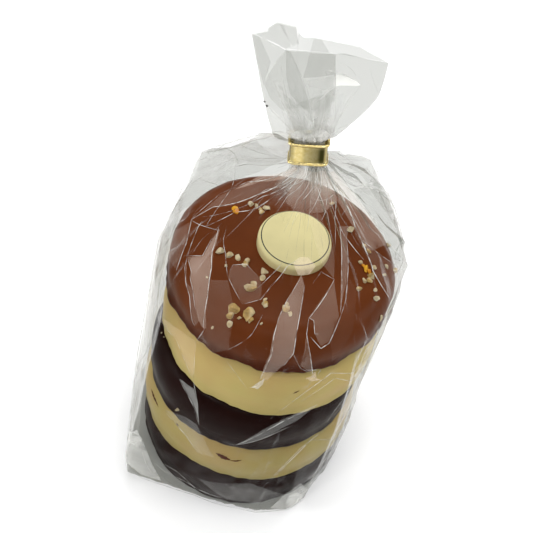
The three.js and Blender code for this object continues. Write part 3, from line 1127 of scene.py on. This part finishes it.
WALL_CREASES = [
    (0.3, [(372, 346), (330, 371), (270, 417)]),
    (0.25, [(376, 349), (334, 376), (300, 400)]),
    (0.25, [(343, 396), (331, 412), (324, 424)]),
    (0.35, [(340, 423), (310, 438), (272, 477)]),
    (0.25, [(334, 420), (300, 446), (262, 486)]),
    (0.35, [(236, 443), (262, 431), (300, 411), (316, 403)]),
    (0.25, [(236, 443), (262, 437), (292, 424)]),
    (0.25, [(181, 378), (200, 423)]),
    (0.25, [(161, 300), (178, 338), (194, 378)]),
    (0.25, [(197, 341), (195, 380), (200, 423)]),
    (0.25, [(166, 410), (182, 428), (198, 450)]),
    (0.25, [(258, 384), (250, 386)]),
    (0.2, [(228, 360), (247, 386)]),
    (0.3, [(128, 432), (140, 440), (131, 452)]),
    (0.3, [(140, 440), (152, 470), (182, 488)]),
    (0.25, [(155, 457), (178, 470), (200, 492)]),
    (0.3, [(262, 502), (284, 494), (304, 482)]),
    (0.3, [(288, 492), (298, 500), (290, 508)]),
    (0.35, [(164, 226), (152, 292), (147, 345)]),
    (0.3, [(158, 262), (154, 330), (148, 352), (137, 374)]),
    (0.5, [(163, 228), (150, 290), (140, 350), (128, 432), (127, 466)]),
    (0.3, [(406, 268), (401, 296), (381, 342), (352, 396), (340, 424), (320, 474)]),
    (0.35, [(127, 466), (142, 478), (180, 489), (206, 498), (237, 507)]),
    (0.35, [(237, 507), (262, 510.5), (286, 508), (302, 500)]),
    (0.3, [(302, 500), (306, 488), (314, 472), (330, 449)]),
    (0.3, [(150, 456), (166, 470), (196, 486), (226, 497)]),
]

# Facets of film with painted reflections of the light, a few small ones as painted highlights: how strong
# each painted reflection is, and its corners in the picture.
PAINTED_REFLECTION_FACETS = [
    (0.25, [(221, 229), (204, 256), (189, 257), (192, 272), (194, 289), (197, 308), (203, 326), (207, 328),
            (209, 296), (213, 268), (218, 242)]),
    (0.12, [(188, 258), (186, 268), (187, 282), (191, 296), (197, 325), (201, 318), (196, 308), (193, 289)]),
    (0.21, [(301, 274), (287, 299), (279, 316), (273, 334), (270, 352), (260, 376), (266, 380), (283, 364),
            (293, 352), (296, 333), (300, 309), (304, 285)]),
    (0.13, [(338, 226), (340, 271), (339, 312), (343, 292), (347, 275), (345, 240), (348, 226)]),
    (0.12, [(333, 279), (308, 317), (313, 320), (314, 333), (320, 345), (328, 341), (338, 316), (336, 300)]),
    (0.12, [(306, 333), (304, 350), (300, 364), (307, 370), (313, 376), (311, 356)]),
    (0.08, [(229, 276), (234, 265), (247, 264), (260, 277), (262, 286), (261, 299), (243, 303)]),
    (0.06, [(210, 280), (207, 328), (198, 340), (214, 352), (230, 348), (236, 312), (229, 280)]),
    (0.08, [(195, 220), (222, 196), (249, 183), (296, 167), (300, 169), (262, 195), (215, 208)]),
    (0.3, [(296, 166), (262, 176), (236, 190), (262, 182), (298, 170)]),
    (0.08, [(193, 222), (178, 230), (168, 243), (171, 262), (178, 270), (184, 253), (188, 243)]),
    (0.2, [(327, 172), (333, 172), (364, 209), (386, 244), (366, 250), (350, 224), (337, 202)]),
    (0.07, [(353, 232), (392, 264), (402, 273), (388, 298), (371, 270)]),
    (0.2, [(290, 188), (301, 168), (324, 170), (336, 201), (322, 212), (300, 214), (286, 202)]),
    (0.1, [(308, 214), (320, 214), (333, 250), (333, 278), (322, 264)]),
    (0.02, [(339, 316), (347, 276), (356, 290), (352, 330), (340, 350), (330, 362), (330, 341)]),
    (0.3, [(181, 378), (195, 388), (200, 422)]),
    (0.16, [(237, 443), (262, 429), (300, 410), (318, 403), (296, 420), (264, 437)]),
    (0.14, [(197, 341), (161, 300), (178, 338), (194, 378)]),
    (0.12, [(166, 409), (198, 424), (214, 456), (198, 452), (182, 430)]),
    (0.12, [(200, 478), (250, 482), (318, 478), (300, 486), (262, 503), (226, 498)]),
    (0.5, [(129, 428), (127, 462), (142, 474), (162, 480), (150, 456), (142, 436)]),
    (0.3, [(293, 263), (299, 257), (308, 257), (315, 265), (309, 274), (298, 275)]),
    (0.7, [(130, 431), (138, 429), (143, 440), (138, 446), (131, 442)]),
    (0.4, [(286, 492), (300, 482), (307, 488), (301, 500), (288, 507), (270, 507)]),
    (0.8, [(289, 494), (296, 491), (303, 494), (300, 501), (290, 506), (286, 501)]),
    (0.15, [(166, 228), (153, 276), (144, 330), (150, 334), (157, 300), (163, 262), (170, 240)]),
    (0.6, [(252, 386), (257, 382), (265, 377), (263, 383), (258, 388)]),
    (0.45, [(305, 377), (311, 375), (315, 370), (316, 377), (322, 379), (311, 380)]),
    (0.15, [(141, 340), (134, 382), (131, 428), (140, 432), (144, 392), (150, 352)]),
]

# The same creases and facets on the fan.
FAN_CREASES = [
    (0.3, [(286.4, 49.3), (276, 62), (263.6, 83.6)]),
    (0.3, [(286.4, 49.3), (298, 68), (307.8, 90.7), (313.6, 124), (315, 143)]),
    (0.3, [(335.8, 49), (335.9, 80), (335.5, 112), (331, 128), (320, 140)]),
    (0.25, [(298.6, 47), (316, 51.5), (333.6, 54.3)]),
    (0.25, [(258.6, 33.6), (272, 42), (286, 49.3)]),
    (0.3, [(275, 80), (281, 100), (290, 118), (306, 143)]),
    (0.35, [(267, 106), (282, 121), (296, 135), (303, 144)]),
    (0.3, [(280, 62), (284, 84), (290, 108), (309, 143)]),
    (0.35, [(343.6, 86.4), (330, 92), (316, 102)]),
    (0.35, [(361, 85), (352, 98), (340, 118), (330, 134)]),
    (0.3, [(356, 87), (346, 104), (335, 126)]),
    (0.4, [(355, 121), (336, 130), (316.5, 141)]),
    (0.35, [(350, 126), (334, 136), (322, 142)]),
    (0.4, [(325, 69), (343.6, 74.3), (356.4, 80.7), (361.4, 85)]),
    (0.25, [(336, 60), (351, 68.6), (362, 84)]),
    (0.25, [(369, 66), (374, 82), (379, 95)]),
    (0.3, [(292, 100), (300, 122), (310, 143)]),
    (0.3, [(326, 108), (321, 126), (317, 142)]),
    (0.35, [(296, 128), (304, 137), (311, 145)]),
    (0.3, [(313, 110), (314, 128), (314, 144)]),
    (0.3, [(303, 108), (308, 126), (312, 144)]),
    (0.25, [(272, 134), (284, 139), (294, 143)]),
    (0.25, [(262, 60), (268, 72), (273, 90)]),
]
FAN_PAINTED_REFLECTION_FACETS = [
    (0.4, [(308, 81), (325, 78), (336, 75), (336, 86), (325, 90), (309, 87)]),
    (0.35, [(325, 69.5), (336, 73.5), (336, 76), (326, 78)]),
    (0.3, [(273, 80), (281, 82), (288, 104), (300, 122), (292, 120), (280, 100)]),
    (0.35, [(266, 106), (276, 112), (290, 124), (300, 138), (284, 138), (273, 130)]),
    (0.4, [(308, 110), (316, 108), (318, 118), (312, 122), (307, 117)]),
    (0.35, [(290, 134), (312, 124), (334, 134), (326, 144), (312, 146), (294, 143)]),
    (0.35, [(326, 94), (334.5, 88), (334.5, 112), (330, 126), (324, 122)]),
    (0.4, [(326, 139), (338, 130), (345, 130), (334, 142), (327, 145)]),
    (0.75, [(287, 137), (296, 131), (312, 129), (326, 131), (335, 137), (331.5, 144.5), (310, 146),
            (289, 144)]),
]

# A bright facet of the fan that is tilted up, the pixel it is tilted about, its tilt in degrees, and
# the strength of its painted reflection.
BRIGHT_FACET = [(336, 75), (343.6, 74.8), (356.4, 81), (361, 85), (356, 86), (342, 85.5), (336, 86)]
BRIGHT_MIDDLE = (348, 82)
BRIGHT_TILT = 50.0
BRIGHT_PAINTED_REFLECTION = 0.9

# Panels where the film lies double: on the front of the fan, on its back, and on the bag's shoulders.
FAN_PANELS = [
    [(286, 50), (291, 52), (299, 70), (306, 92), (311, 114), (300, 106), (290, 94), (286, 76)],
    [(252.5, 34.5), (259, 36), (271, 62), (263.5, 85), (257, 60)],
    [(286.4, 49.5), (310, 51.5), (335.8, 54), (335.8, 100), (324, 112), (300, 108), (282, 110), (270, 98),
     (264, 84), (276, 62)],
    [(282, 92), (296, 104), (312, 98), (334, 92), (329, 118), (320, 140), (302, 141), (290, 122)],
]
BACK_PANELS = [
    [(299, 33), (304, 37.8), (314, 38), (338, 42.5), (360, 47.5), (386, 62), (336, 53.5), (310, 51),
     (287, 48.5), (297, 44)],
    [(314, 38.5), (322, 40), (329, 52), (335.5, 56), (335.5, 74), (318, 77), (303, 78), (308, 60)],
    [(253, 34.5), (277, 22.5), (296, 27), (299, 44), (286, 49), (270, 40)],
    [(256, 34), (277, 23.5), (283, 24.5), (291, 46), (286, 49), (276, 43), (264, 39)],
    [(279, 24), (296, 28), (298, 43), (292, 46)],
]
SHOULDER_PANELS = [
    [(352, 190), (366, 186), (384, 193), (396, 222), (404, 262), (390, 258), (374, 228)],
    [(366, 186), (372, 178), (384, 190), (394, 214), (384, 212)],
    [(202, 152), (226, 143), (250, 137), (270, 135), (292, 158), (262, 172), (224, 184), (196, 204),
     (180, 214), (184, 187)],
    [(164, 229), (180, 216), (170, 250), (160, 290), (152, 334), (148, 362), (139, 362), (151, 290)],
    [(163, 232), (172, 226), (163, 270), (154, 316), (146, 352), (141, 350), (151, 290)],
    [(330, 149), (352, 156), (371, 161), (383, 190), (366, 184), (346, 168)],
]

# Dark crumbs on the fan's film, by their pixels.
CRUMBS_ON_FAN = [(264.5, 101.5), (267, 106)]

# The creases and facets are drawn on flat plans, where a step of one is about a millimetre: for the fan the
# picture's pixels are divided, and for the bag each degree round it is this many steps.
FAN_PIXELS = 3.2
BAG_STEPS = 0.8

# A crease's rib: its radius as a share of the crease's width, its sides, its steps' length, and how far off
# the film it lies, in millimetres.
FAN_RIB = 0.2
BAG_RIB = 0.24
RIB_SIDES = 5
RIB_STEP = 1.5
RIB_LIFT = 0.75

# The facets' plans are cut into pieces of about this size. A facet of the bag is over the milk glaze if its
# corners are above this height on average.
FACET_STEP = 2.5
MILK_HEIGHT = 90.0

# Every third crease and facet of the front is repeated on the unseen back, where the facets' painted
# reflections are paler.
MIRRORED = 3
MIRRORED_PAINTED_REFLECTION = 0.4


def on_fan(pixels):
    return [Vector(pixel) / FAN_PIXELS for pixel in pixels]


def mirrored_behind(spots):
    """The same places on the unseen side of the bag."""
    return [((-azimuth) % 360, height) for azimuth, height in spots]


def unrolled(spots):
    """A plan of places on the bag, with azimuths that run on past 0 and 360."""
    first = spots[0][0]
    flat = []
    for azimuth, height in spots:
        turn = (azimuth - first + 180) % 360 - 180
        flat.append(Vector(((first + turn) * BAG_STEPS, height)))
    return flat


def lay_on_bag(spot, lift):
    return lifted_film(spot.x / BAG_STEPS, spot.y, lift)


def lay_on_slope(spot, lift):
    """A place on the plane tilted back about the bright facet's middle."""
    middle = lay_on_fan(Vector(BRIGHT_MIDDLE) / FAN_PIXELS, 1.2)
    out = Vector((0, -math.cos(math.radians(BRIGHT_TILT)), math.sin(math.radians(BRIGHT_TILT))))
    start, ray = camera_ray(*(spot * FAN_PIXELS))
    return start + ray * ((middle - start).dot(out) / ray.dot(out))


def crease_ribs(name, creases):
    """Thin rounded ribs along the creases, tapered to their ends."""
    points, faces = [], []
    for width, flat, lay in creases:
        path = [*cut_path(flat, lambda length: max(2, round(length / RIB_STEP))), flat[-1]]
        places = [lay(spot, RIB_LIFT) for spot in path]
        first = len(points)
        for step, place in enumerate(places):
            along = (places[min(step + 1, len(places) - 1)] - places[max(step - 1, 0)]).normalized()
            aside = along.orthogonal().normalized()
            upright = along.cross(aside)
            share = step / (len(places) - 1)
            taper = 0.2 + 0.8 * math.sin(math.pi * min(1.0, max(0.0, share))) ** 0.7
            radius = width * (FAN_RIB if lay is lay_on_fan else BAG_RIB) * taper
            for side in range(RIB_SIDES):
                angle = 2 * math.pi * side / RIB_SIDES
                points.append(place + (aside * math.cos(angle) + upright * math.sin(angle)) * radius)
        faces += grid_faces(len(places), RIB_SIDES, first, round_rows=True)
        faces.append(tuple(first + side for side in reversed(range(RIB_SIDES))))
        faces.append(tuple(len(points) - RIB_SIDES + side for side in range(RIB_SIDES)))
    piece = new_piece(name, points, [], faces)
    merge_and_turn_out(piece, 1e-7)
    return piece


def inside(spot, corners):
    """True if the spot lies inside the outline, by counting the sides that it sees to its right."""
    seen = False
    for near, far in zip(corners, corners[1:] + corners[:1]):
        if (near.y > spot.y) != (far.y > spot.y):
            if spot.x < near.x + (far.x - near.x) * (spot.y - near.y) / (far.y - near.y):
                seen = not seen
    return seen


def facet_sheets(name, facets):
    """Facets a little off the film, each slightly bowed, with the strength of their painted reflection as an
    attribute.
    """
    points, faces, painted_reflection = [], [], []
    for pale, corners, lay in facets:
        edge = cut_path([*corners, corners[0]], lambda length: max(1, round(length / FACET_STEP)))
        low = Vector((min(c.x for c in corners), min(c.y for c in corners)))
        high = Vector((max(c.x for c in corners), max(c.y for c in corners)))
        inner = []
        for row in range(1, int((high.y - low.y) / FACET_STEP) + 1):
            for column in range(1, int((high.x - low.x) / FACET_STEP) + 1):
                spot = low + Vector((column, row)) * FACET_STEP
                if min((spot - e).length for e in edge) > 1.2 and inside(spot, corners):
                    inner.append(spot)
        outline = [(corner, (corner + 1) % len(edge)) for corner in range(len(edge))]
        flat, _, triangles, _, _, _ = geometry.delaunay_2d_cdt(edge + inner, outline, [], 0, 1e-6, True)
        triangles = [t for t in triangles if inside((flat[t[0]] + flat[t[1]] + flat[t[2]]) / 3, corners)]
        first = len(points)
        for spot in flat:
            depth = min((spot - e).length for e in edge)
            points.append(lay(spot, 0.45 + 0.3 * min(1.0, depth / 3)))
            painted_reflection.append(pale)
        faces += [tuple(first + corner for corner in triangle) for triangle in triangles]
    piece = new_piece(name, points, [], faces)
    set_attribute(piece, "painted_reflection", painted_reflection)
    return piece


def is_over_milk(facet):
    _, corners, lay = facet
    return lay is lay_on_bag and sum(corner.y for corner in corners) > MILK_HEIGHT * len(corners)


class LEBKUCHEN_OT_creases(bpy.types.Operator):
    """Lay the sharp creases and the facets with painted reflections on the bag"""

    bl_idname = "lebkuchen.creases"
    bl_label = "Creases"

    def execute(self, context):
        settings = scene_settings("lebkuchen_film")
        creases = [(width, on_fan(pixels), lay_on_fan) for width, pixels in FAN_CREASES]
        facets = [(pale * settings.painted_reflection, on_fan(pixels), lay_on_fan) for pale, pixels in FAN_PAINTED_REFLECTION_FACETS]
        facets.append((BRIGHT_PAINTED_REFLECTION, on_fan(BRIGHT_FACET), lay_on_slope))
        for drawn, laid, strength, behind in (
            (SHOULDER_CREASES + WALL_CREASES, creases, 1.0, 1.0),
            (PAINTED_REFLECTION_FACETS, facets, settings.painted_reflection, MIRRORED_PAINTED_REFLECTION),
        ):
            for index, (amount, pixels) in enumerate(drawn):
                spots = [on_film(*pixel) for pixel in pixels]
                laid.append((amount * strength, unrolled(spots), lay_on_bag))
                if index % MIRRORED == 0:
                    laid.append((amount * strength * behind, unrolled(mirrored_behind(spots)), lay_on_bag))
        finish_piece(crease_ribs("film_creases", creases), crease_material("film_crease"))
        for name, over_milk, material in (
            ("film_painted_reflections_top", True, painted_reflection_material("warm_painted_reflection", WARM_PAINTED_REFLECTION)),
            ("film_painted_reflections", False, painted_reflection_material("plain_painted_reflection", PLAIN_PAINTED_REFLECTION)),
        ):
            piece = facet_sheets(name, [facet for facet in facets if is_over_milk(facet) == over_milk])
            finish_piece(piece, material)
        return {"FINISHED"}


# ----------------------------------------------------------------------------------------------- the fan

# The fan's film runs round from its left edge over the front to its right edge, and back behind. Each
# line runs from the neck, at an azimuth there, to the rim, given by its pixel in the picture.
FAN_LINES = [
    (180, 251.5, 33.5), (202, 263, 38), (226, 286.4, 49.3), (248, 310, 51.5), (268, 335.8, 54),
    (288, 345, 53.5), (318, 367, 58), (352, 388, 62), (8, 382, 59), (24, 369, 52.5), (40, 360.5, 46.7),
    (60, 338, 42), (78, 322, 39.5), (94, 314, 37.5), (108, 304, 37.6), (122, 299.5, 33), (136, 297, 26),
    (150, 277, 21.5), (164, 263, 31),
]

# How far the fan has spread at shares of its height, on the left and on the right.
LEFT_SPREAD = [
    (0.0, 0.0), (0.05, 0.32), (0.17, 0.51), (0.33, 0.62), (0.5, 0.72), (0.63, 0.79), (0.81, 0.9), (1.0, 1.0),
]
RIGHT_SPREAD = [
    (0.0, 0.0), (0.05, 0.24), (0.17, 0.46), (0.33, 0.7), (0.5, 0.92), (0.63, 1.03), (0.81, 1.03), (1.0, 1.0),
]

# How far the fan's left edge droops over the band.
FAN_DROOP = 3.4

# The fan's crossing folds, as shares of its height, and those of the film gathered in the neck, by height
# from the band's middle. Round the neck that film runs in and out along so many lines.
FAN_LEVELS = [-0.4, 0.0, 0.08, 0.2, 0.33, 0.5, 0.63, 0.81, 1.0]
BUNDLE_LEVELS = [-24.0, -19.0, -14.0, -10.0, -7.0, -4.0, 0.0, 3.8, 5.0, 7.0, 10.0, 14.0, 19.0]
BUNDLE_LINES = 44


def fan_line_place(line, share):
    """Where a line of the fan lies, from 0 at the neck to 1 at the rim; below 0 it runs down the neck."""
    azimuth, pixel_x, pixel_y = line
    angle = math.radians(azimuth)
    across = Vector((NECK_HALF_WIDTH * math.cos(angle), NECK_HALF_DEPTH * math.sin(angle), 0)) * 0.9
    foot = leaned(across + Vector((0, 0, BAND_HEIGHT / 2)))
    if share < 0:
        return leaned(across + Vector((0, 0, BAND_HEIGHT * (0.5 + share))))
    rim = under_pixel(pixel_x, pixel_y, FAN_TOP)
    left, right = table_value(share, LEFT_SPREAD), table_value(share, RIGHT_SPREAD)
    aside = lerp(left, right, smoothstep(rim.x - foot.x, -8, 8))
    straight = foot.lerp(rim, share)
    spread = lerp(share, aside, min(1.0, abs(rim.x - foot.x) / 12))
    droop = FAN_DROOP * math.exp(-((share - 0.07) / 0.07) ** 2) * smoothstep(foot.x - rim.x, 8, 14)
    return Vector((lerp(foot.x, rim.x, spread), straight.y, straight.z - droop))


def fan_place(across, share, depth):
    index = math.floor(across)
    start = fan_line_place(FAN_LINES[index % len(FAN_LINES)], share)
    end = fan_line_place(FAN_LINES[(index + 1) % len(FAN_LINES)], share)
    return start.lerp(end, across - index) + Vector((0.3, -1.0, 0.2)) * depth


def fan_sheet(first, last):
    """A smooth copy of the fan's film from one of its lines to another, to look up where it lies."""
    columns = [first + step / 4 for step in range(4 * (last - first) + 1)]
    shares = [step / 20 for step in range(21)]
    points = [fan_place(column, share, 0.0) for column in columns for share in shares]
    return BVHTree.FromPolygons(points, grid_faces(len(columns), len(shares)))


def lay_before(sheet, depth):
    """A way to lay spots of the picture, divided by FAN_PIXELS, a little before a sheet of the fan.
    Where a pixel just misses the sheet, the place on it nearest to what the pixel shows at the depth is
    taken."""

    def lay(spot, lift):
        start, ray = camera_ray(*(spot * FAN_PIXELS))
        place = sheet.ray_cast(start, ray)[0]
        if place is None:
            place = sheet.find_nearest(start + ray * ((depth - start.y) / ray.y))[0]
        return place - ray * lift

    return lay


# The fan's front runs from its left edge to its right edge, and its back from there.
FAN_LEFT, FAN_RIGHT = 0, 7
lay_on_fan = lay_before(fan_sheet(FAN_LEFT, FAN_RIGHT), 2.0)
lay_behind_fan = lay_before(fan_sheet(FAN_RIGHT, len(FAN_LINES)), 8.0)


def bundle_fade(height):
    """The gathered film's painted reflection shows less the further it is from the band."""
    if height > 0:
        return 2.0 * (1 - smoothstep(height, 3.0, 9.0)) + 0.35 * (1 - smoothstep(height, 8.0, 19.0))
    return 0.8 * (1 - smoothstep(-height, 3.0, 23.0))


def bundle_reach(half, height, spill, above, below):
    """How far the gathered film reaches: it spills over the band's upper lip, and spreads away from it."""
    spread = above if height > 0 else below
    return half + spill * smoothstep(height, 3.8, 6.0) + spread * smoothstep(abs(height), 4.0, 22.0)


def bundle_place(nearness, across, height, depth):
    """A point of the film gathered inside the neck, which runs in and out round it."""
    width = bundle_reach(NECK_HALF_WIDTH, height, 2.4, 3.2, 7.5)
    depth_of_neck = bundle_reach(NECK_HALF_DEPTH, height, 2.0, 1.2, 8.0)
    ends = []
    index = math.floor(across)
    for column in (index, index + 1):
        angle = 2 * math.pi * column / len(nearness)
        near = nearness[column % len(nearness)]
        ends.append(Vector((width * near * math.cos(angle), depth_of_neck * near * math.sin(angle), height)))
    return leaned(ends[0].lerp(ends[1], across - index) + Vector((0.4, -0.9, 0)) * depth)


def make_bundle(draw, settings):
    """The film gathered in the neck, which shows above the band and below it, with a painted reflection."""
    nearness = [0.93 if line % 2 else draw.uniform(0.05, 0.5) for line in range(BUNDLE_LINES)]

    def depth_at(level):
        return 0.15

    def place_at(across, height, depth):
        return bundle_place(nearness, across, height, depth)

    piece = creased_sheet("film_bundle", BUNDLE_LINES, BUNDLE_LEVELS, draw, 0.8, depth_at, place_at, 1.5)
    back = Matrix.Rotation(math.radians(NECK_LEAN), 3, "Y")
    heights = [(back @ (vertex.co / MM - NECK_MIDDLE)).z for vertex in piece.data.vertices]
    # Painted reflection on the gathered film, fading away from the band.
    set_attribute(piece, "painted_reflection", [settings.bundle * bundle_fade(height) for height in heights])
    finish_piece(piece, painted_reflection_material("gathered_painted_reflection", GATHERED_PAINTED_REFLECTION))


def make_crumbs(draw):
    """Two dark crumbs on the fan's film."""
    crumbs = []
    for pixel in CRUMBS_ON_FAN:
        deselect_all()
        crumb = chopped_piece(draw, 0.9, 0.5, 0.0)
        crumb.data.transform(Matrix.Translation(lay_on_fan(Vector(pixel) / FAN_PIXELS, 0.3) * MM))
        crumbs.append(crumb)
    brown = grain_material("crumb_brown", (0.03, 0.016, 0.01), (0.01, 0.006, 0.004), 900.0, 0.6)
    finish_piece(joined_piece("film_crumbs", crumbs), brown)


class LEBKUCHEN_OT_fan(bpy.types.Operator):
    """Make the open fan of film above the band and the film gathered in the neck"""

    bl_idname = "lebkuchen.fan"
    bl_label = "Fan"

    def execute(self, context):
        settings = scene_settings("lebkuchen_film")
        draw = random.Random(settings.seed + 1)

        def depth_at(level):
            return 0.7 * settings.crumple * smoothstep(level, 0.0, 0.4)

        piece = creased_sheet("film_fan", len(FAN_LINES), FAN_LEVELS, draw, 0.03, depth_at, fan_place, 0.2)
        finish_piece(piece, film_material("clear_film_fan", settings, 1.05))
        make_bundle(draw, settings)
        make_crumbs(draw)
        layers = [(0.0, on_fan(pixels), lay_on_fan) for pixels in FAN_PANELS]
        layers += [(0.0, on_fan(pixels), lay_behind_fan) for pixels in BACK_PANELS]
        for pixels in SHOULDER_PANELS:
            layers.append((0.0, unrolled([on_film(*pixel) for pixel in pixels]), lay_on_bag))
        panels = facet_sheets("film_panels", layers)
        finish_piece(panels, film_material("clear_film_panel", settings, 0.55))
        return {"FINISHED"}


# ---------------------------------------------------------------------------------------------- the band

# How dark the painted reflections on the front of the band are, from its left to its right in millimetres.
BAND_PAINTED_REFLECTIONS = [
    (-6.5, 0.55), (-4.6, 0.5), (-3.9, 0.12), (-2.0, 0.15), (-1.0, 0.5), (1.2, 0.7), (2.6, 0.8), (3.6, 1.0),
    (4.6, 1.0), (5.0, 0.55), (6.5, 0.5),
]
# The back of the band gets an even painted shade.
BAND_BACK_PAINTED_SHADE = 0.45
BAND_STEPS = 160


def band_section():
    """The strip's section as (out, height): flat, with a rolled lip at the top and at the bottom."""
    height = BAND_HEIGHT
    roll = 0.45
    outside = arc((0.0, roll), BAND_LIP, -90, 90, 6)
    outside += [(-0.05, 1.2), (-0.1, 2.2), (-0.12, height / 2), (-0.1, height - 2.2), (-0.05, height - 1.2)]
    outside += arc((0.0, height - roll), BAND_LIP, -90, 90, 6)
    return outside + [(-0.42, height - 0.2), (-0.5, height / 2), (-0.42, 0.2)]


def band_painted_reflection(across, height, front):
    """How dark the painted reflection is at a place of the band, from 0 to 1. The lips stay bright."""
    face = smoothstep(height, 0.7, 1.3) * (1 - smoothstep(height, BAND_HEIGHT - 1.3, BAND_HEIGHT - 0.8))
    return face * (table_value(across, BAND_PAINTED_REFLECTIONS) if front else BAND_BACK_PAINTED_SHADE)


class LEBKUCHEN_OT_band(bpy.types.Operator):
    """Make the pressed metal band round the neck"""

    bl_idname = "lebkuchen.band"
    bl_label = "Band"

    def execute(self, context):
        section = band_section()
        points, painted_shades = [], []
        for step in range(BAND_STEPS):
            azimuth = step * 360 / BAND_STEPS
            for out, height in section:
                reach = rounded_reach(azimuth, BAND_HALF_WIDTH + out, BAND_HALF_DEPTH + out, BAND_SQUARENESS)
                place = polar(azimuth, reach, height - BAND_HEIGHT / 2)
                painted_shades.append(band_painted_reflection(place.x, height, place.y < 0 and out > -0.3))
                points.append(leaned(place))
        faces = grid_faces(BAND_STEPS, len(section), round_columns=True, round_rows=True)
        piece = new_piece("closing_band", points, [], faces)
        set_attribute(piece, "shade", painted_shades)
        merge_and_turn_out(piece)
        finish_piece(piece, band_material())
        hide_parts("band")
        return {"FINISHED"}


# --------------------------------------------------------------------------------------------- the stage

# The lights: name, place and size in metres, and brightness. All face the middle of the pack.
LIGHTS = [
    ("left", (-0.95, -0.25, 0.4), (0.42, 0.5), 6.5),
    ("right", (0.95, 0.1, 0.45), (0.36, 0.5), 5.0),
    ("top", (0.05, 0.2, 1.1), (0.6, 0.5), 6.5),
    ("front", (0.15, -0.75, 0.85), (0.5, 0.22), 5.0),
    ("back", (-0.1, 0.95, 0.6), (0.8, 0.2), 4.5),
    ("sparkle", (-0.42, -0.5, 0.95), (0.1, 0.1), 60.0),
]
LIT_PLACE = Vector((0, 0, 0.09))
ROOM_COLOUR = (0.97, 0.98, 1.0)
ROOM_STRENGTH = 0.4
FLOOR_SIZE = 4.0


def softbox(name, place, size, brightness):
    """A rectangular light that the camera doesn't see."""
    data = bpy.data.lights.new(name, "AREA")
    data.shape = "RECTANGLE"
    data.size, data.size_y = size
    data.energy = brightness * math.pi * size[0] * size[1]
    light = bpy.data.objects.new(name, data)
    bpy.context.scene.collection.objects.link(light)
    light.location = place
    light.rotation_euler = (LIT_PLACE - Vector(place)).to_track_quat("-Z", "Y").to_euler()
    light.visible_camera = False


def make_camera():
    data = bpy.data.cameras.new("camera")
    data.sensor_width = SENSOR_MM
    data.lens = SENSOR_MM * FOCAL_PIXELS / PICTURE_PIXELS
    data.clip_start = 0.01
    camera = bpy.data.objects.new("camera", data)
    bpy.context.scene.collection.objects.link(camera)
    camera.matrix_world = Matrix.Translation(Vector(CAMERA_PLACE) * MM) @ camera_turn().to_4x4()
    bpy.context.scene.camera = camera


class LEBKUCHEN_OT_stage(bpy.types.Operator):
    """Make the floor, the lights and the camera"""

    bl_idname = "lebkuchen.stage"
    bl_label = "Stage"

    def execute(self, context):
        settings = scene_settings("lebkuchen_stage")
        scene = context.scene
        bpy.ops.mesh.primitive_plane_add(size=FLOOR_SIZE, location=(0, 0, 0))
        floor = context.active_object
        floor.name = "floor"
        pale = {"Base Color": (*settings.floor, 1), "Roughness": 0.9, "Specular IOR Level": 0.1}
        floor.data.materials.append(principled(new_material("pale_floor"), pale))
        for name, place, size, brightness in LIGHTS:
            softbox(name, place, size, brightness * settings.strength)
        world = bpy.data.worlds.new("room")
        world.use_nodes = True
        room = world.node_tree.nodes["Background"].inputs
        room["Color"].default_value = (*ROOM_COLOUR, 1)
        room["Strength"].default_value = ROOM_STRENGTH * settings.strength
        scene.world = world
        make_camera()
        scene.view_settings.view_transform = "Standard"
        scene.cycles.transparent_max_bounces = 32
        return {"FINISHED"}


# --------------------------------------------------------------------------------------------- the panel

OPERATORS = (
    LEBKUCHEN_OT_biscuits,
    LEBKUCHEN_OT_medallion,
    LEBKUCHEN_OT_toppings,
    LEBKUCHEN_OT_band,
    LEBKUCHEN_OT_bag,
    LEBKUCHEN_OT_creases,
    LEBKUCHEN_OT_fan,
    LEBKUCHEN_OT_stage,
)
SETTINGS = {
    "lebkuchen_stack": StackSettings,
    "lebkuchen_medallion": MedallionSettings,
    "lebkuchen_toppings": ToppingSettings,
    "lebkuchen_film": FilmSettings,
    "lebkuchen_stage": StageSettings,
}


class LEBKUCHEN_PT_panel(bpy.types.Panel):
    """Lists the pieces and their sizes and colours"""

    bl_label = "Bag of Lebkuchen"
    bl_idname = "LEBKUCHEN_PT_panel"
    bl_space_type = "VIEW_3D"
    bl_region_type = "UI"
    bl_category = "Lebkuchen"

    def draw(self, context):
        for operator in OPERATORS:
            self.layout.operator(operator.bl_idname)
        for name, group in SETTINGS.items():
            box = self.layout.box()
            box.label(text=group.__doc__)
            for key in group.__annotations__:
                box.prop(getattr(context.scene, name), key)


def register():
    for group in SETTINGS.values():
        bpy.utils.register_class(group)
    for name, group in SETTINGS.items():
        setattr(bpy.types.Scene, name, PointerProperty(type=group))
    for operator in OPERATORS:
        bpy.utils.register_class(operator)
    bpy.utils.register_class(LEBKUCHEN_PT_panel)


def unregister():
    bpy.utils.unregister_class(LEBKUCHEN_PT_panel)
    for operator in reversed(OPERATORS):
        bpy.utils.unregister_class(operator)
    for name in SETTINGS:
        delattr(bpy.types.Scene, name)
    for group in reversed(SETTINGS.values()):
        bpy.utils.unregister_class(group)


def main():
    register()
    for operator in OPERATORS:
        family, action = operator.bl_idname.split(".")
        getattr(getattr(bpy.ops, family), action)()


if __name__ == "__main__":
    main()
